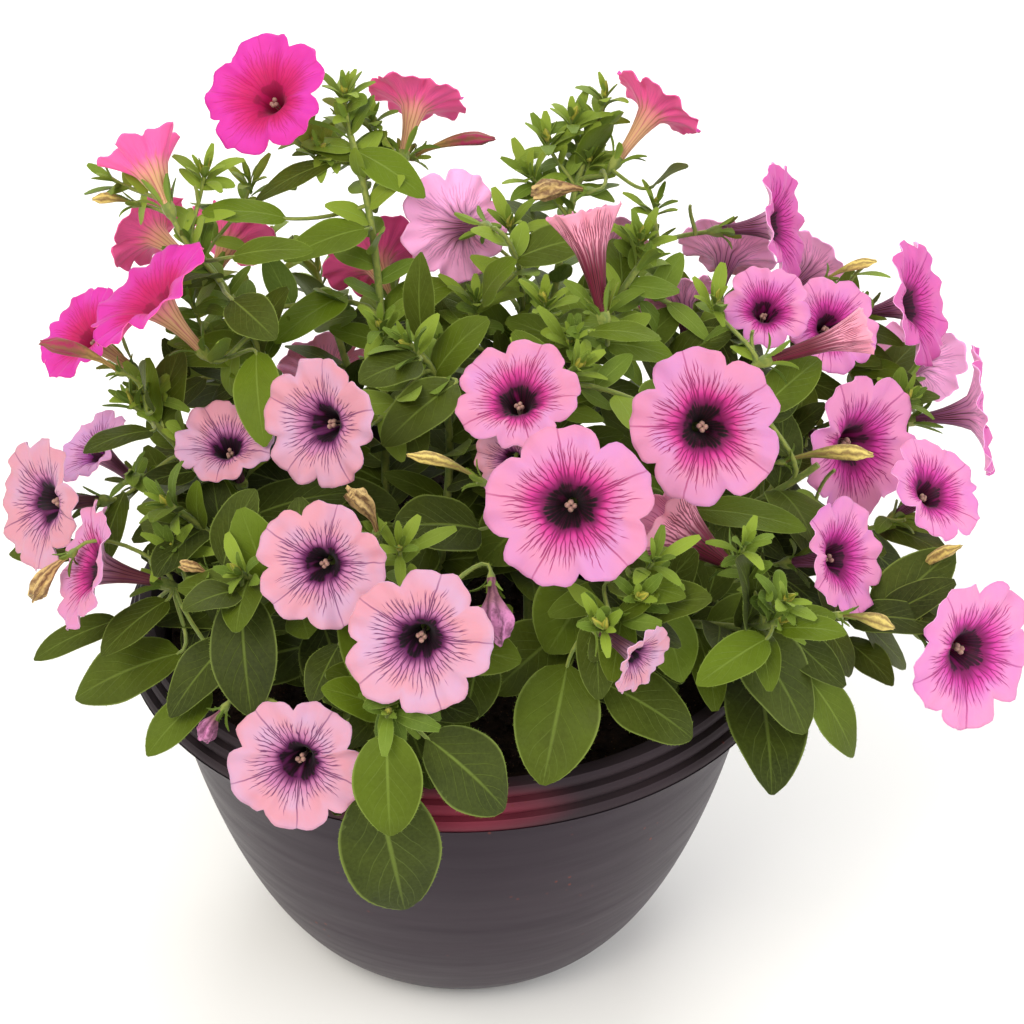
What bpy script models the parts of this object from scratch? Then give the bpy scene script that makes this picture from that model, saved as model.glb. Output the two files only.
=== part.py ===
"""Petunia basket: a moulded bowl of potting soil with leafy stems and trumpet flowers.

The bowl stands on its flat base with the origin at the middle of that base, +Z up and
the side that is seen first towards -Y. Each leafy stem stands in a plain hole in the
soil and carries its leaves, side shoots and green calyces as one body. Each flower is
a body of its own, seated in the calyx that holds it.
"""
import math
import random

import bmesh
import bpy
import numpy as np
from mathutils import Vector
from mathutils.bvhtree import BVHTree

CM = 0.01
MM = 0.001
GAP = 0.3 * MM
OBJECT_NAME = "petunia_basket"

# Bowl, 12 inches across its rim
RIM_RADIUS = 150 * MM
RIM_TOP_RADIUS = 141 * MM
RIM_LIP_HEIGHT = 162 * MM
POT_HEIGHT = 180 * MM
BASE_RADIUS = 65 * MM
WALL_TOP_RADIUS = 134 * MM
WALL = 2.2 * MM
WALL_SWELL = 1.35
WALL_ROUND = 1.9
WALL_LEVELS = (8 * MM, 24 * MM, 50 * MM, 90 * MM, 156 * MM)
RIM_INNER_RADIUS = 137 * MM
RIM_FOLD = (139 * MM, 175.5 * MM)
RIM_RIDGES = 3
RIDGE_STEP = 1.2 * MM
TURNED_STEPS = 24
HOLE_SIDES = 8
DRAIN_HOLES = 4
DRAIN_RADIUS = 5 * MM
DRAIN_RING = 40 * MM

# Soil and the holes that the stems stand in
SOIL_EDGE = 163 * MM
SOIL_TOP = 167 * MM
STEM_FOOT = 142 * MM
STEM_CLEAR = 171 * MM

# Stems
MAIN_RADIUS = (2.1, 1.9, 1.5)
SHOOT_RADIUS = (1.3, 1.1, 1.1)
MAIN_POINTS = 7
SHOOT_POINTS = 4

# Flowers
PETALS = 5
TUBE_BASE_RADIUS = 2.3 * MM
PETAL_THICKNESS = 0.9 * MM
CALYX_DROP = 3.2 * MM
SEPAL_ROOT = 3.3 * MM
SEPAL_REACH = 7.0 * MM
SEPAL_RISE = 5.0 * MM

# Leaves
PAIR_SPACING = 42 * MM
SINGLE_SPACING = 60 * MM
LEAF_TRIES = 9
LEAF_LONG = 56 * MM
LEAF_SHORT = 26 * MM
LEAFY_HEIGHT = 180 * MM
BLADE_THICKNESS = 1.3 * MM
STALK_HALF = 0.8 * MM
SHORT_STALK = 5 * MM
BLADE_POINTS = 7
BACK_LIGHT = 130 * MM
FRONT_LIGHT = 80 * MM
FACE_REACH = 60 * MM
FACE_SHARE = 0.46
GLANCE_LIFT = 34
GLANCE_REACH = 110 * MM
GLANCE_SHARE = 0.42

# Leafy stems: name, root x and y, tip x, y and z, in centimetres
STEMS = {
    "a": ((-3.5, 4.5), (-5.0, 9.5, 36.0)),
    "b": ((-7.0, 2.5), (-11.5, 4.5, 32.5)),
    "c": ((-9.0, -1.5), (-14.0, 0.5, 27.0)),
    "d": ((-7.5, -5.0), (-12.0, -5.0, 25.5)),
    "e": ((-4.5, -7.5), (-8.5, -10.0, 25.5)),
    "f": ((-1.0, -9.0), (-2.5, -15.5, 23.5)),
    "g": ((-1.0, -2.5), (-2.0, -0.5, 30.5)),
    "h": ((3.0, -1.5), (5.0, -1.5, 30.0)),
    "i": ((4.0, -8.0), (6.0, -13.0, 25.5)),
    "j": ((8.0, -5.0), (13.0, -10.5, 23.5)),
    "k": ((9.5, 0.0), (15.5, -0.5, 24.5)),
    "l": ((8.5, 4.5), (18.0, 9.0, 26.5)),
    "m": ((4.0, 3.5), (8.0, 5.0, 31.5)),
    "n": ((0.5, 5.0), (3.0, 8.0, 27.5)),
    "o": ((-4.5, 9.0), (-7.0, 14.0, 26.0)),
    "p": ((3.5, 9.0), (6.0, 13.0, 34.0)),
    "q": ((7.5, 8.5), (12.0, 15.0, 22.5)),
}

# Flowers: stem, mouth x, y and z in centimetres, azimuth (0 is -Y, 90 is +X) and
# elevation in degrees, width and depth in centimetres, colour
FLOWERS = (
    ("a", (-8.4, 9.0, 37.5), -27, 47, 5.6, 3.2, "hot"),
    ("a", (-2.0, 13.0, 35.5), 165, 40, 4.6, 3.0, "hot"),
    ("b", (-13.6, 6.5, 36.3), -147, 42, 3.3, 3.2, "hot"),
    ("b", (-14.2, 10.0, 30.4), -130, 15, 4.4, 3.0, "hot"),
    ("a", (-10.6, 12.0, 29.1), 160, 25, 4.6, 3.0, "hot"),
    ("b", (-13.0, 1.0, 32.1), -90, 53, 6.2, 3.6, "hot"),
    ("b", (-16.5, 3.5, 28.8), -64, 48, 4.6, 3.2, "hot"),
    ("n", (-0.3, 9.0, 31.1), -150, -23, 5.2, 3.2, "mauve"),
    ("n", (-4.1, 11.0, 28.5), -160, 18, 5.0, 3.0, "hot"),
    ("p", (8.9, 13.0, 35.2), 133, 38, 4.7, 3.4, "hot"),
    ("m", (5.3, 3.0, 34.9), -158, 60, 2.8, 4.6, "faded"),
    ("m", (14.6, 10.0, 30.7), 72, 16, 5.6, 3.2, "magenta"),
    ("p", (12.5, 13.5, 27.5), 165, 30, 4.8, 3.0, "magenta"),
    ("m", (13.5, 5.0, 29.2), 10, 58, 4.0, 3.0, "magenta"),
    ("q", (17.0, 15.5, 25.5), 130, 20, 4.6, 2.8, "magenta"),
    ("k", (17.5, 2.0, 29.8), 98, 16, 1.9, 4.6, "faded"),
    ("l", (21.0, 9.5, 26.9), 69, 24, 6.0, 3.2, "magenta"),
    ("l", (23.8, 6.0, 23.2), 84, 12, 6.2, 3.4, "magenta"),
    ("l", (22.2, 14.0, 21.3), 153, 0, 4.8, 2.8, "magenta"),
    ("k", (17.8, 2.5, 23.5), 40, 14, 6.6, 3.4, "magenta"),
    ("k", (20.8, 0.0, 22.9), 50, 50, 4.8, 3.0, "magenta"),
    ("j", (16.3, -5.0, 22.8), 54, 28, 5.0, 3.0, "magenta"),
    ("j", (8.2, -6.0, 25.7), -106, 32, 4.2, 4.0, "mauve"),
    ("j", (21.6, -8.0, 19.9), 35, 14, 6.6, 3.4, "magenta"),
    ("h", (10.0, -7.0, 30.5), 5, 32, 6.2, 3.4, "pink"),
    ("i", (4.5, -12.0, 30.0), -4, 30, 6.4, 3.5, "pink"),
    ("h", (2.5, -6.0, 31.4), -12, 62, 5.0, 3.0, "pink"),
    ("g", (2.1, -6.5, 28.5), -38, 22, 3.2, 2.6, "pale"),
    ("g", (-5.5, -6.0, 30.0), -38, 25, 5.4, 3.2, "pale"),
    ("e", (-5.0, -13.0, 28.0), -6, 30, 5.0, 3.0, "pale"),
    ("f", (-1.2, -16.0, 26.6), -4, 24, 5.6, 3.2, "pale"),
    ("f", (-6.0, -17.0, 21.5), -8, 26, 5.3, 3.2, "pale"),
    ("i", (7.3, -14.5, 24.6), 45, -8, 3.0, 2.4, "pale"),
    ("d", (-9.8, -2.0, 26.7), -26, 70, 4.4, 3.0, "pale"),
    ("c", (-16.4, 3.0, 23.2), -74, 51, 3.9, 3.0, "mauve"),
    ("c", (-18.0, -2.0, 23.5), -54, 19, 5.9, 3.2, "pale"),
    ("d", (-15.3, -7.0, 23.8), -76, 25, 5.4, 3.6, "pink"),
    ("o", (-6.9, 13.0, 21.2), -160, 15, 4.8, 3.0, "mauve"),
    ("p", (6.8, 18.0, 25.4), 172, 30, 5.2, 3.2, "pink"),
    ("l", (16.6, 6.0, 27.7), 20, 41, 4.4, 3.0, "magenta"),
    ("m", (9.8, 8.0, 28.2), -164, 43, 4.2, 3.0, "mauve"),
)

# Large leaves: stem, base and tip in centimetres, width in centimetres
LEAVES = (
    ("f", (-3.0, -16.8, 20.5), (-2.0, -17.0, 14.0), 4.0),
    ("f", (-2.5, -17.0, 23.0), (-2.5, -18.5, 19.0), 2.7),
    ("f", (-1.0, -16.0, 22.0), (2.0, -16.5, 18.8), 3.2),
    ("f", (-2.5, -15.0, 22.5), (-5.0, -15.5, 24.0), 1.8),
    ("i", (4.5, -12.0, 22.5), (3.5, -15.5, 19.2), 3.4),
    ("i", (6.0, -12.0, 21.5), (9.5, -13.0, 19.5), 2.9),
    ("e", (-8.5, -10.0, 24.5), (-8.0, -13.5, 21.0), 2.8),
    ("e", (-9.0, -9.5, 22.0), (-11.5, -12.0, 19.8), 2.2),
    ("d", (-11.5, -8.0, 20.0), (-16.0, -8.5, 18.0), 2.9),
    ("d", (-10.0, -10.5, 20.0), (-12.5, -12.5, 18.2), 1.9),
    ("e", (-8.5, -10.5, 25.0), (-10.5, -12.5, 25.5), 1.7),
    ("j", (12.5, -6.5, 18.5), (12.8, -13.5, 17.0), 3.6),
    ("j", (14.0, -9.5, 20.5), (16.5, -10.5, 16.5), 2.2),
    ("j", (12.5, -11.0, 23.0), (9.5, -14.0, 23.0), 1.8),
    ("j", (13.0, -11.0, 23.5), (15.5, -12.0, 24.0), 1.3),
    ("c", (-16.6, -0.6, 20.0), (-19.9, -0.5, 19.8), 1.6),
    ("d", (-14.5, -5.0, 19.5), (-18.0, -6.5, 18.5), 1.6),
    ("d", (-12.0, -7.0, 22.0), (-14.5, -9.5, 21.0), 1.8),
    ("d", (-9.5, -7.5, 24.0), (-8.0, -7.0, 27.5), 2.4),
    ("c", (-13.0, 0.0, 27.0), (-13.0, -1.0, 30.0), 1.4),
    ("c", (-13.0, -1.0, 26.5), (-15.5, -3.5, 27.0), 1.5),
    ("b", (-8.5, 0.5, 29.5), (-8.0, -3.0, 27.0), 2.1),
    ("b", (-9.5, 1.5, 31.5), (-7.5, -1.0, 31.0), 2.0),
    ("b", (-9.5, 2.5, 33.0), (-6.0, 1.5, 33.8), 1.4),
    ("a", (-7.5, 6.0, 33.0), (-11.0, 5.0, 33.8), 1.5),
    ("a", (-4.0, 6.0, 32.5), (-7.5, 4.0, 32.0), 2.0),
    ("a", (-5.5, 8.5, 34.5), (-9.0, 7.5, 33.0), 1.3),
    ("a", (-4.5, 8.5, 35.0), (-1.5, 7.0, 33.5), 1.8),
    ("g", (-1.5, 1.5, 29.5), (-1.5, 2.0, 33.5), 1.5),
    ("g", (-1.5, -1.0, 30.0), (-4.0, -2.5, 29.8), 2.3),
    ("g", (0.0, -2.0, 29.5), (-3.0, -4.5, 28.0), 2.3),
    ("a", (-5.0, 5.5, 29.5), (-8.0, 3.0, 28.5), 2.0),
    ("g", (1.0, -5.5, 24.5), (-2.5, -7.5, 26.0), 3.0),
    ("i", (4.5, -9.0, 22.0), (1.5, -12.0, 21.0), 3.0),
    ("h", (4.0, -3.0, 24.0), (7.5, -5.0, 22.5), 3.2),
    ("h", (3.5, -2.5, 23.5), (1.0, -5.0, 22.5), 3.0),
    ("e", (-5.5, -8.0, 21.5), (-4.0, -12.0, 20.0), 3.0),
    ("g", (-1.0, -3.0, 22.0), (-4.5, -5.5, 22.0), 3.2),
    ("e", (-4.5, -12.0, 23.5), (-5.5, -14.5, 22.5), 1.6),
    ("f", (1.0, -12.0, 23.0), (0.5, -14.5, 21.5), 2.2),
    ("p", (8.5, 9.0, 33.0), (10.0, 8.0, 34.5), 1.5),
    ("m", (5.5, 0.5, 30.5), (8.5, -1.0, 31.0), 1.2),
    ("k", (18.0, -2.0, 20.0), (19.5, -3.5, 18.0), 1.7),
    ("k", (16.5, -5.0, 18.5), (18.5, -7.0, 17.5), 1.7),
    ("i", (6.0, -12.0, 26.5), (9.0, -13.0, 26.5), 1.6),
    ("k", (10.0, -4.0, 24.5), (14.5, -5.5, 24.5), 1.7),
    ("n", (1.0, 5.0, 29.5), (2.5, 4.0, 32.0), 1.9),
    ("o", (-8.5, 10.5, 22.0), (-13.5, 12.0, 20.5), 3.0),
    ("o", (-4.5, 10.5, 20.5), (-3.0, 15.5, 18.6), 3.0),
    ("o", (-4.0, 10.5, 22.5), (-0.5, 14.0, 21.5), 3.0),
    ("p", (3.5, 11.5, 21.0), (1.5, 16.5, 19.0), 3.4),
    ("p", (4.5, 12.0, 22.0), (6.0, 17.0, 19.5), 3.2),
    ("q", (9.0, 11.5, 20.5), (10.0, 15.5, 18.0), 3.2),
    ("q", (10.5, 11.5, 21.5), (15.0, 13.0, 19.5), 3.0),
    ("l", (12.5, 6.5, 21.5), (17.0, 7.0, 19.5), 3.0),
    ("b", (-9.5, 4.0, 22.5), (-14.5, 5.0, 21.0), 3.0),
    ("b", (-9.5, 6.5, 24.0), (-14.0, 8.5, 23.0), 2.8),
    ("m", (4.0, 3.0, 29.0), (6.5, 1.0, 30.0), 1.7),
    ("i", (5.6, -7.5, 23.2), (3.7, -11.0, 22.3), 3.4),
    ("i", (8.0, -10.0, 24.2), (9.1, -12.0, 21.6), 2.3),
)

COLOURS = {
    "pot": ((0.055, 0.050, 0.055), 0.45),
    "soil": ((0.030, 0.018, 0.010), 0.95),
    "green": ((0.100, 0.220, 0.040), 0.60),
    "hot": ((0.800, 0.040, 0.250), 0.60),
    "magenta": ((0.720, 0.130, 0.430), 0.60),
    "pink": ((0.850, 0.300, 0.480), 0.60),
    "pale": ((0.880, 0.450, 0.530), 0.60),
    "mauve": ((0.600, 0.300, 0.480), 0.60),
    "faded": ((0.650, 0.300, 0.380), 0.65),
}


# ---------------------------------------------------------------- small helpers
def clear_scene():
    """Remove what the startup file holds."""
    for thing in list(bpy.data.objects):
        bpy.data.objects.remove(thing, do_unlink=True)


def new_collection(name):
    collection = bpy.data.collections.new(name)
    bpy.context.scene.collection.children.link(collection)
    return collection


def material(name):
    """Principled material from the colour table, made once."""
    found = bpy.data.materials.get(name)
    if found:
        return found
    colour, roughness = COLOURS[name]
    made = bpy.data.materials.new(name)
    made.use_nodes = True
    shader = made.node_tree.nodes["Principled BSDF"]
    shader.inputs["Base Color"].default_value = (*colour, 1.0)
    shader.inputs["Roughness"].default_value = roughness
    return made


def mesh_object(name, points, faces, collection):
    """Object with the given points and faces, all facing outwards."""
    mesh = bpy.data.meshes.new(name)
    mesh.from_pydata([tuple(p) for p in points], [], faces)
    made = bpy.data.objects.new(name, mesh)
    collection.objects.link(made)
    return made


def face_outwards(thing):
    """Point every face of a closed mesh outwards."""
    shape = bmesh.new()
    shape.from_mesh(thing.data)
    bmesh.ops.recalc_face_normals(shape, faces=shape.faces)
    shape.to_mesh(thing.data)
    shape.free()


def facing(azimuth, elevation):
    """Unit vector: azimuth 0 points to -Y and 90 to +X, elevation lifts it to +Z."""
    turn, lift = math.radians(azimuth), math.radians(elevation)
    return Vector((math.sin(turn) * math.cos(lift), -math.cos(turn) * math.cos(lift), math.sin(lift)))


def across(axis, guide):
    """Part of guide that is square to axis, as a unit vector."""
    square = guide - axis * guide.dot(axis)
    if square.length < 1e-3:
        square = axis.orthogonal()
    return square.normalized()


def bezier(ends, steps):
    """Points along a cubic curve through its four control points."""
    places = []
    for step in range(steps):
        t = step / (steps - 1)
        s = 1 - t
        weights = (s ** 3, 3 * s * s * t, 3 * s * t * t, t ** 3)
        places.append(sum((point * weight for point, weight in zip(ends, weights)), Vector()))
    return places


def tangent(points, index):
    """Direction of a path at one of its points."""
    before, after = points[max(index - 1, 0)], points[min(index + 1, len(points) - 1)]
    return (after - before).normalized()


def spread(values, count):
    """Three values spread smoothly over count places."""
    return np.interp(np.linspace(0, 1, count), (0.0, 0.5, 1.0), values)


# ---------------------------------------------------------------- bowl and soil
def wall_radius(height):
    """Outer radius of the bowl's swelling wall at a height."""
    rise = 1 - height / RIM_LIP_HEIGHT
    swell = (1 - rise ** WALL_SWELL) ** (1 / WALL_ROUND)
    return BASE_RADIUS + (WALL_TOP_RADIUS - BASE_RADIUS) * swell


def inner_wall(offset):
    """Points inside the wall, bottom to top, each offset square to the wall."""
    places = []
    for height in WALL_LEVELS[::2]:
        slope = (wall_radius(height + MM) - wall_radius(height - MM)) / (2 * MM)
        length = math.hypot(1, slope)
        places.append((wall_radius(height) - offset / length, height + offset * slope / length))
    return places


def rim_profile():
    """Collar from its top edge down its ridges to the lip, and back up inside it."""
    places = [(RIM_INNER_RADIUS, POT_HEIGHT), (RIM_TOP_RADIUS, POT_HEIGHT)]
    for ridge in range(RIM_RIDGES):
        low = (ridge + 1) / RIM_RIDGES
        radius = RIM_TOP_RADIUS + (RIM_RADIUS - RIM_TOP_RADIUS) * low
        height = POT_HEIGHT + (RIM_LIP_HEIGHT - POT_HEIGHT) * low
        if ridge < RIM_RIDGES - 1:
            places += [(radius - RIDGE_STEP, height + MM), (radius, height - MM)]
        else:
            places += [(radius, height), (radius - WALL, height)]
    return places + [RIM_FOLD]


def turned(name, profile, collection):
    """Solid of revolution from a profile that runs up the inside and down the outside."""
    points = [(radius, 0, height) for radius, height in profile]
    edges = [(i, i + 1) for i in range(len(points) - 1)]
    mesh = bpy.data.meshes.new(name)
    mesh.from_pydata(points, edges, [])
    made = bpy.data.objects.new(name, mesh)
    collection.objects.link(made)
    screw = made.modifiers.new("turn", "SCREW")
    screw.steps = screw.render_steps = TURNED_STEPS
    screw.use_merge_vertices = True
    screw.merge_threshold = 0.01 * MM
    return made


def cutter(name, radius, low, high, place, sides, collection):
    """Upright round cutter, kept out of the part itself."""
    shape = bmesh.new()
    bmesh.ops.create_cone(shape, cap_ends=True, segments=sides, radius1=radius, radius2=radius, depth=high - low)
    bmesh.ops.translate(shape, verts=shape.verts, vec=(place[0], place[1], (low + high) / 2))
    mesh = bpy.data.meshes.new(name)
    shape.to_mesh(mesh)
    shape.free()
    made = bpy.data.objects.new(name, mesh)
    made.hide_render = True
    made.display_type = "WIRE"
    collection.objects.link(made)
    return made


def cut(thing, cutters):
    boolean = thing.modifiers.new("holes", "BOOLEAN")
    boolean.operation = "DIFFERENCE"
    boolean.operand_type = "COLLECTION"
    boolean.collection = cutters


def make_pot(parts):
    """Thin moulded bowl with a ridged collar and drain holes in its base."""
    inside = [(0, WALL), (BASE_RADIUS, WALL)] + inner_wall(WALL)
    outside = [(wall_radius(height), height) for height in reversed(WALL_LEVELS)]
    profile = inside + rim_profile() + outside + [(BASE_RADIUS, 0), (0, 0)]
    pot = turned("pot", profile, parts)
    drains = new_collection("drain_cutters")
    for hole in range(DRAIN_HOLES):
        turn = math.tau * (hole + 0.5) / DRAIN_HOLES
        place = (DRAIN_RING * math.cos(turn), DRAIN_RING * math.sin(turn))
        cutter(f"drain_cutter_{hole}", DRAIN_RADIUS, -WALL, 2 * WALL, place, HOLE_SIDES, drains)
    cut(pot, drains)
    pot.data.materials.append(material("pot"))
    return pot


def make_soil(parts):
    """Potting soil that fills the bowl, with a plain hole for each stem."""
    wall = inner_wall(WALL + 2 * GAP)
    edge = wall[-1][0]
    floor = WALL + GAP
    profile = [(0, SOIL_TOP), (0.7 * edge, SOIL_TOP - MM), (edge, SOIL_EDGE)]
    profile += list(reversed(wall)) + [(BASE_RADIUS - MM, floor), (0, floor)]
    soil = turned("soil", profile, parts)
    holes = new_collection("stem_hole_cutters")
    for name, (root, _) in STEMS.items():
        place = (root[0] * CM, root[1] * CM)
        radius = MAIN_RADIUS[0] * MM + 2 * GAP
        cutter(f"stem_hole_{name}", radius, STEM_FOOT - GAP, SOIL_TOP + 5 * MM, place, HOLE_SIDES, holes)
    cut(soil, holes)
    soil.data.materials.append(material("soil"))
    return soil


# ---------------------------------------------------------------- what stands clear
class Clearance:
    """Outlines of the pieces placed so far, with the node that each belongs to."""

    def __init__(self):
        self.nodes = []
        self.trees = []
        self.lows = []
        self.highs = []

    def add(self, node, points, faces):
        points = np.array(points)
        self.nodes.append(node)
        self.trees.append(BVHTree.FromPolygons(points.tolist(), faces))
        self.lows.append(points.min(0))
        self.highs.append(points.max(0))

    def meets(self, points, faces, node, own=False):
        """Nodes that an outline crosses: its own node only, or all the others."""
        points = np.array(points)
        low, high = points.min(0), points.max(0)
        near = np.all((np.array(self.lows) <= high) & (np.array(self.highs) >= low), axis=1)
        tree = None
        met = set()
        for index in np.nonzero(near)[0]:
            if (self.nodes[index] == node) != own:
                continue
            tree = tree or BVHTree.FromPolygons(points.tolist(), faces)
            if tree.overlap(self.trees[index]):
                met.add(self.nodes[index])
        return met


def tube_outline(points, radius):
    """Square outline round a path, closed at both ends."""
    rows = []
    for index, point in enumerate(points):
        along = tangent(points, index)
        side = across(along, Vector((0.3, 0.9, 0.1)))
        over = along.cross(side)
        rows += [point + side * radius, point + over * radius, point - side * radius, point - over * radius]
    faces = [(0, 1, 2, 3), tuple(range(len(rows) - 4, len(rows)))]
    for row in range(0, len(rows) - 4, 4):
        for k in range(4):
            faces.append((row + k, row + (k + 1) % 4, row + 4 + (k + 1) % 4, row + 4 + k))
    return rows, faces


# ---------------------------------------------------------------- flowers
def frame_of(axis, roll=0.0):
    """Two unit vectors square to an axis; the second leans upwards."""
    up = across(axis, Vector((0, 0, 1)))
    side = up.cross(axis)
    turn = math.radians(roll)
    return side * math.cos(turn) + up * math.sin(turn), up * math.cos(turn) - side * math.sin(turn)


def zip_rings(low, high):
    """Triangles between two closed rings of different counts, walked by angle."""
    faces = []
    i = j = 0
    while i < len(low) or j < len(high):
        a, b = low[i % len(low)], high[j % len(high)]
        if j >= len(high) or (i < len(low) and (i + 1) / len(low) <= (j + 1) / len(high) - 1e-9):
            faces.append((a, low[(i + 1) % len(low)], b))
            i += 1
        else:
            faces.append((a, high[(j + 1) % len(high)], b))
            j += 1
    return faces


def corolla_sheet(index, flower):
    """Open trumpet: a five-sided tube that flares into a limb of five broad lobes.

    Rings of 5, 5 and 15 points rise along the axis. In the last one every third point
    is a notch between two lobes, and the lobes wave up and down in turn.
    """
    _, mouth, azimuth, elevation, width, depth, _ = flower
    draw = random.Random(100 + index)
    axis = facing(azimuth, elevation)
    side, up = frame_of(axis, draw.uniform(0, 72))
    half, deep = width * CM / 2, depth * CM
    base = Vector(mouth) * CM - axis * deep
    throat = max(1.4 * TUBE_BASE_RADIUS, 0.30 * half)
    waves = [draw.uniform(-1, 1) * 0.05 * half for _ in range(PETALS)]
    rings = (
        [(TUBE_BASE_RADIUS, 0.0)] * PETALS,
        [(throat, 0.80 * deep)] * PETALS,
        [(half * (0.90 if k % 3 == 0 else 1.0), deep + waves[k // 3] * (1 if k % 3 else -0.6))
         for k in range(3 * PETALS)],
    )
    points, faces, rows = [], [], []
    for ring in rings:
        row = []
        for k, (radius, height) in enumerate(ring):
            turn = math.tau * k / len(ring)
            row.append(len(points))
            points.append(base + axis * height + (side * math.cos(turn) + up * math.sin(turn)) * radius)
        rows.append(row)
    faces.append(tuple(reversed(rows[0])))
    for low, high in zip(rows, rows[1:]):
        faces += zip_rings(low, high)
    return points, faces


def swollen(points, faces, grow):
    """The same surface moved outwards along its normals."""
    places = np.array([tuple(p) for p in points])
    normals = np.zeros_like(places)
    for face in faces:
        a, b, c = places[face[0]], places[face[1]], places[face[2]]
        normals[list(face)] += np.cross(b - a, c - a)
    normals /= np.linalg.norm(normals, axis=1, keepdims=True)
    return places + normals * grow


def plan_flowers(clearance):
    """Sheets of all the flowers, each checked against the ones before it."""
    sheets = []
    for index, flower in enumerate(FLOWERS):
        name = f"flower_{index + 1:02d}"
        points, faces = corolla_sheet(index, flower)
        outer = swollen(points, faces, 2 * GAP)
        inner = swollen(points, faces, -PETAL_THICKNESS - 2 * GAP)
        for layer in (outer, inner):
            met = clearance.meets(layer, faces, name)
            if met:
                print("flower", name, FLOWERS[index][:2], "meets", met)
        clearance.add(name, outer, faces)
        clearance.add(name, inner, faces)
        sheets.append((name, points, faces))
    return sheets


def make_flower(sheet, colour, parts):
    """Thin-walled trumpet, closed at the foot of its tube."""
    name, points, faces = sheet
    flower = mesh_object(name, points, faces, parts)
    wall = flower.modifiers.new("petal", "SOLIDIFY")
    wall.thickness = PETAL_THICKNESS
    wall.offset = -1
    flower.data.materials.append(material(colour))
    return flower


# ---------------------------------------------------------------- stems
def main_route(name, swing):
    """Path of a main stem: straight out of its hole, then a bow to its tip."""
    root, tip = STEMS[name]
    foot = Vector((root[0], root[1], 0)) * CM
    start = foot + Vector((0, 0, STEM_CLEAR))
    end = Vector(tip) * CM
    reach = (end - start).length
    outward = Vector((end.x, end.y, 0)).normalized()
    bow = Vector((-outward.y, outward.x, 0)) * swing
    ends = (start, start + Vector((0, 0, 0.40 * reach)) + bow,
            end - (outward * 0.5 + Vector((0, 0, 0.5))) * 0.45 * reach + bow, end)
    return [foot + Vector((0, 0, STEM_FOOT))] + bezier(ends, MAIN_POINTS)


def shoot_route(main, flower, attempt):
    """Path of a side shoot from the main stem to the foot of a flower."""
    _, mouth, azimuth, elevation, _, depth, _ = flower
    axis = facing(azimuth, elevation)
    end = Vector(mouth) * CM - axis * (depth * CM + CALYX_DROP)
    order = sorted(range(3, len(main) - 1), key=lambda k: (main[k] - (end - axis * 20 * MM)).length)
    start = order[(attempt // 3) % len(order)]
    reach = (end - main[start]).length
    sideways = axis.cross(Vector((0, 0, 1))) * (0, 0.25, -0.25)[attempt % 3] * reach
    ends = (main[start], main[start] + tangent(main, start) * 0.35 * reach + sideways,
            end - axis * 0.40 * reach + sideways, end)
    return bezier(ends, SHOOT_POINTS)


def calyx_mesh(flower):
    """Green star cup under a flower: five sepals that spread from a small foot."""
    _, mouth, azimuth, elevation, _, depth, _ = flower
    axis = facing(azimuth, elevation)
    side, up = frame_of(axis)
    base = Vector(mouth) * CM - axis * depth * CM
    points = []
    for radius, height, shift in ((SEPAL_ROOT, -2 * GAP, 0), (SEPAL_REACH, SEPAL_RISE, 0.5)):
        for k in range(PETALS):
            turn = math.tau * (k + shift) / PETALS
            points.append(base + axis * height + (side * math.cos(turn) + up * math.sin(turn)) * radius)
    foot = len(points)
    points.append(base - axis * (CALYX_DROP + 2 * MM))
    faces = [tuple(range(PETALS))]
    for k in range(PETALS):
        notch, after, tip = k, (k + 1) % PETALS, PETALS + k
        faces += [(foot, after, tip), (foot, tip, notch), (notch, tip, after)]
    return points, faces


def plan_stems(clearance):
    """Paths of every main stem and side shoot, bowed clear of what is placed."""
    plans = {}
    for name in STEMS:
        node = f"leafy_stem_{name}"
        for swing in (0, 12, -12, 24, -24, 36, -36):
            main = main_route(name, swing * MM)
            outline = tube_outline(main[1:], (MAIN_RADIUS[0] + 0.8) * MM)
            met = clearance.meets(*outline, node)
            if not met:
                break
        if met:
            print("stem", name, "meets", met)
        clearance.add(node, *outline)
        plans[name] = {"main": main, "shoots": [], "flowers": [], "leaves": []}
    for index, flower in enumerate(FLOWERS):
        plan = plans[flower[0]]
        node = f"leafy_stem_{flower[0]}"
        for attempt in range(12):
            shoot = shoot_route(plan["main"], flower, attempt)
            outline = tube_outline(shoot, (SHOOT_RADIUS[0] + 0.6) * MM)
            met = clearance.meets(*outline, node)
            if not met:
                break
        if met:
            print("shoot", index + 1, flower[:2], "meets", met)
        cup = calyx_mesh(flower)
        met = clearance.meets(*cup, node) - {f"flower_{index + 1:02d}"}
        if met:
            print("calyx", index + 1, flower[:2], "meets", met)
        clearance.add(node, *outline)
        clearance.add(node, *cup)
        plan["shoots"].append(shoot)
        plan["flowers"].append(flower)
    return plans


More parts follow.
